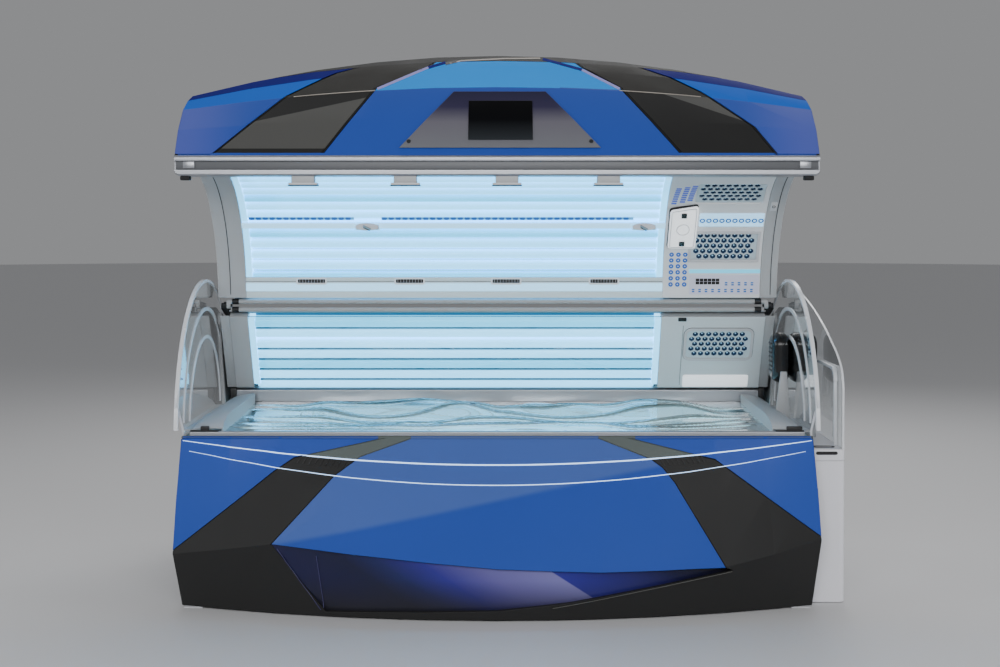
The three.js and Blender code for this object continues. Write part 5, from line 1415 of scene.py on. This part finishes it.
def dress_insert(node, crease_from, crease_to, below, above):
    """An insert with its face split along a line between two points in x and z, one side painted a paler grey as a
    painted reflection, and a dark lip at its foot.
    """
    shape = merged_copy(node)
    along = Vector((crease_to[0] - crease_from[0], 0, crease_to[1] - crease_from[1]))
    across = Vector((-along.z, 0, along.x)).normalized()
    if across.z < 0:
        across = -across
    point = spot(crease_from[0], 0, crease_from[1])
    for place, normal in ((point, across), (Vector((0, 0, insert_lip)), Vector((0, 0, 1)))):
        bmesh.ops.bisect_plane(
            shape, geom=shape.verts[:] + shape.edges[:] + shape.faces[:], dist=1e-6, plane_co=place,
            plane_no=normal,
        )
    for face in shape.faces:
        centre = face.calc_center_median()
        if above_crease(centre, brow_crease):
            face.material_index = 2
        elif centre.z > insert_lip:
            face.material_index = below if (centre - point).dot(across) < 0 else above
    shade_by_angle(shape, 13)
    piece = settle(f"{node}_dressed", shape, charcoal, "canopy")
    piece.data.materials.append(insert_painted_reflection)
    piece.data.materials.append(insert_brow)
    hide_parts(node)


dress_insert("canopy_insert_left", (-0.9437, 1.811), (-0.507, 1.911), 1, 0)
dress_insert("canopy_insert_right", (0.59, 1.945), (0.921, 1.823), 0, 1)
hood_skin = skin_tree(
    "canopy_centre_panel", "canopy_insert_left", "canopy_insert_right", "display_plate", "canopy_shell"
)


def on_hood(x, z):
    """The point of the hood's face at x and z, given from the bed's middle and the floor."""
    reach = []
    for aside in (-reveal_reach, 0, reveal_reach):
        hit = hood_skin.ray_cast(Vector((bed_origin.x + x + aside, -1.5, z)), Vector((0, 1, 0)))[0]
        if hit:
            reach.append(hit.y)
    return Vector((bed_origin.x + x, min(reach), z))


lilac = finish("lilac_painted_highlight", moulded_skin, paint(136, 132, 206), 0.4, Specular_IOR_Level=0.3)
champagne = finish("champagne_trim", moulded_skin, paint(150, 143, 134), 0.4, Metallic=0.4)
# The lilac strips along the centre panel's slanted upper edges are painted highlights; the dark blue strips from
# them to the crest carry the rear's painted shade.
for name, marks, width, material, slot in (
    ("brow_highlight_left", ((-0.462, 1.9485), (-0.272, 2.044)), 0.011, lilac, "blue_panel"),
    ("brow_highlight_right", ((0.333, 2.0335), (0.472, 1.9485)), 0.011, lilac, "blue_panel"),
    ("crest_shade_left", ((-0.272, 2.044), (-0.206, 2.068)), 0.013, hood_lit_and_shaded_lacquers[2], "blue_panel"),
    ("crest_shade_right", ((0.182, 2.087), (0.333, 2.0335)), 0.013, hood_lit_and_shaded_lacquers[2], "blue_panel"),
    ("crest_notch", ((-0.206, 2.062), (-0.16, 2.076)), 0.014, black_moulding, "black_plastic"),
    ("crest_strip", ((-0.19, 2.064), (-0.145, 2.078), (0.03, 2.0885), (0.172, 2.0915)), 0.006, champagne, "display_silver"),
):
    settle(name, trim(marks, width, 0.0012, on_hood), material, "canopy")
# Thin champagne lines along the inserts' brow crease are painted highlights where light catches the crease.
for side, outwards in (("left", -1), ("right", 1)):
    marks = []
    for i in range(7):
        x = outwards * (0.47 + 0.052 * i)
        marks.append((x, brow_crease[0] - brow_crease[1] * (x / hood_half) ** 2))
    crease_highlight = trim(marks, 0.003, 0.0008, on_hood)
    settle(f"insert_crease_line_{side}", crease_highlight, champagne, "canopy")
lip_strip = trim(((-1.19, 1.6895), (1.19, 1.6895)), 0.009, 0.001, on_hood)
settle("hood_lip_strip", lip_strip, blue_lacquer, "canopy")

# Display: a silver plate on the centre panel that darkens upwards, with a bare black screen and a screw
# at each lower corner. The plate's darkening and the screen's paler foot are painted reflections.


def shaded_upwards(name, foot, span, stops, **sockets):
    """A satin skin whose colour changes with height from the foot, through stops of share and colour."""
    material = finish(name, moulded_skin, paint(110, 110, 118), grain=900.0, relief=0.00006, **sockets)
    tree = material.node_tree
    skin = next(node for node in tree.nodes if node.type == "GROUP")
    place = tree.nodes.new("ShaderNodeTexCoord")
    axes = tree.nodes.new("ShaderNodeSeparateXYZ")
    rise = tree.nodes.new("ShaderNodeMapRange")
    rise.inputs["From Min"].default_value = foot
    rise.inputs["From Max"].default_value = foot + span
    shades = tree.nodes.new("ShaderNodeValToRGB")
    ramp = shades.color_ramp.elements
    for i, (share, colour) in enumerate(stops):
        stop = ramp[i] if i < 2 else ramp.new(share)
        stop.position = share
        stop.color = paint(*colour)
    tree.links.new(place.outputs["Object"], axes.inputs["Vector"])
    tree.links.new(axes.outputs["Z"], rise.inputs["Value"])
    tree.links.new(rise.outputs["Result"], shades.inputs["Fac"])
    tree.links.new(shades.outputs["Color"], skin.inputs["Colour"])
    return material


# The plate's darkening upwards and the screen's paler foot are painted reflections.
plate_low, plate_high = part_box("display_plate")
shaded_silver = shaded_upwards(
    "shaded_silver", plate_low.z, plate_high.z - plate_low.z,
    ((0.0, (112, 114, 120)), (0.45, (104, 102, 112)), (0.72, (48, 44, 72)), (1.0, (30, 28, 58))), roughness=0.5,
    Specular_IOR_Level=0.2,
)
dress("display_plate", shaded_silver, edge=0.0015, crease=13)
screen_low, screen_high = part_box("display_screen")
screen_glass = shaded_upwards(
    "screen_glass", screen_low.z, screen_high.z - screen_low.z,
    ((0.0, (44, 48, 52)), (0.5, (7, 8, 12)), (1.0, (2, 3, 6))), roughness=0.3, Specular_IOR_Level=0.12,
)
dress("display_screen", screen_glass, edge=0.001, crease=13)
plate_screws = []
for x in (-0.331, 0.352):
    place = Matrix.Translation(on_hood(x, 1.738)) @ Matrix.Rotation(math.radians(61), 4, "X")
    plate_screws.append(cell(0.008, 0, 0.002, place, sides=16))
settle("display_screws", gather(plate_screws), dark_steel, "canopy")

# Canopy front rail: an aluminium extrusion with a dark strip in its groove, moulded caps and rubber
# bumpers at the ends, and four clips under it that hold the upper clear sheet.
hood_rail = dress("canopy_front_rail", drawn_aluminium, edge=0.002)
hood_rail_low, hood_rail_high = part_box("canopy_front_rail")
rounded = bmesh.new()
rounded.from_mesh(hood_rail.data)
corners = []
for edge in rounded.edges:
    middle = (edge.verts[0].co + edge.verts[1].co) / 2
    at_end = min(middle.x - hood_rail_low.x, hood_rail_high.x - middle.x) < 0.001
    if at_end and middle.z < hood_rail_low.z + 0.006:
        corners.append(edge)
bmesh.ops.bevel(
    rounded, geom=corners, offset=0.02, affect="EDGES", segments=5, profile=0.5, material=-1,
)
rounded.to_mesh(hood_rail.data)
rounded.free()
groove_strip = finish("groove_strip", drawn_skin, paint(96, 98, 102), 0.45, Metallic=0.3)
settle(
    "rail_groove_strip", block(spot(-1.198, 0.0065, 1.6315), spot(1.198, 0.0102, 1.6625), edge=0.001),
    groove_strip, "canopy",
)
end_facets = [
    block(spot(-1.17, 0.0035, 1.637), spot(-1.128, 0.0068, 1.662), edge=0.0015),
    block(spot(1.128, 0.0035, 1.637), spot(1.17, 0.0068, 1.662), edge=0.0015),
]
settle("rail_end_plates", gather(end_facets), drawn_aluminium, "canopy")
bumpers = [
    block(spot(-1.182, 0.006, 1.592), spot(-1.147, 0.046, 1.6085), edge=0.004),
    block(spot(1.147, 0.006, 1.592), spot(1.182, 0.046, 1.6085), edge=0.004),
]
settle("rail_bumpers", gather(bumpers), foot_rubber, "canopy")
# A thin black strip runs under each clip bar.
tabs, bars, dark_lines = [], [], []
for x in (-0.725, -0.343, 0.037, 0.4165):
    tabs.append(block(spot(x - 0.043, 0.008, 1.582), spot(x + 0.043, 0.05, 1.6085), edge=0.003))
    bars.append(block(spot(x - 0.054, 0.006, 1.5745), spot(x + 0.054, 0.054, 1.5835), edge=0.0025))
    dark_lines.append(block(spot(x - 0.056, 0.0065, 1.571), spot(x + 0.056, 0.052, 1.5755), edge=0.001))
settle("sheet_clip_tabs", gather(tabs), pale_moulding, "canopy")
settle("sheet_clip_dark_lines", gather(dark_lines), black_moulding, "canopy")
settle("sheet_clip_bars", gather(bars), white_case, "canopy")
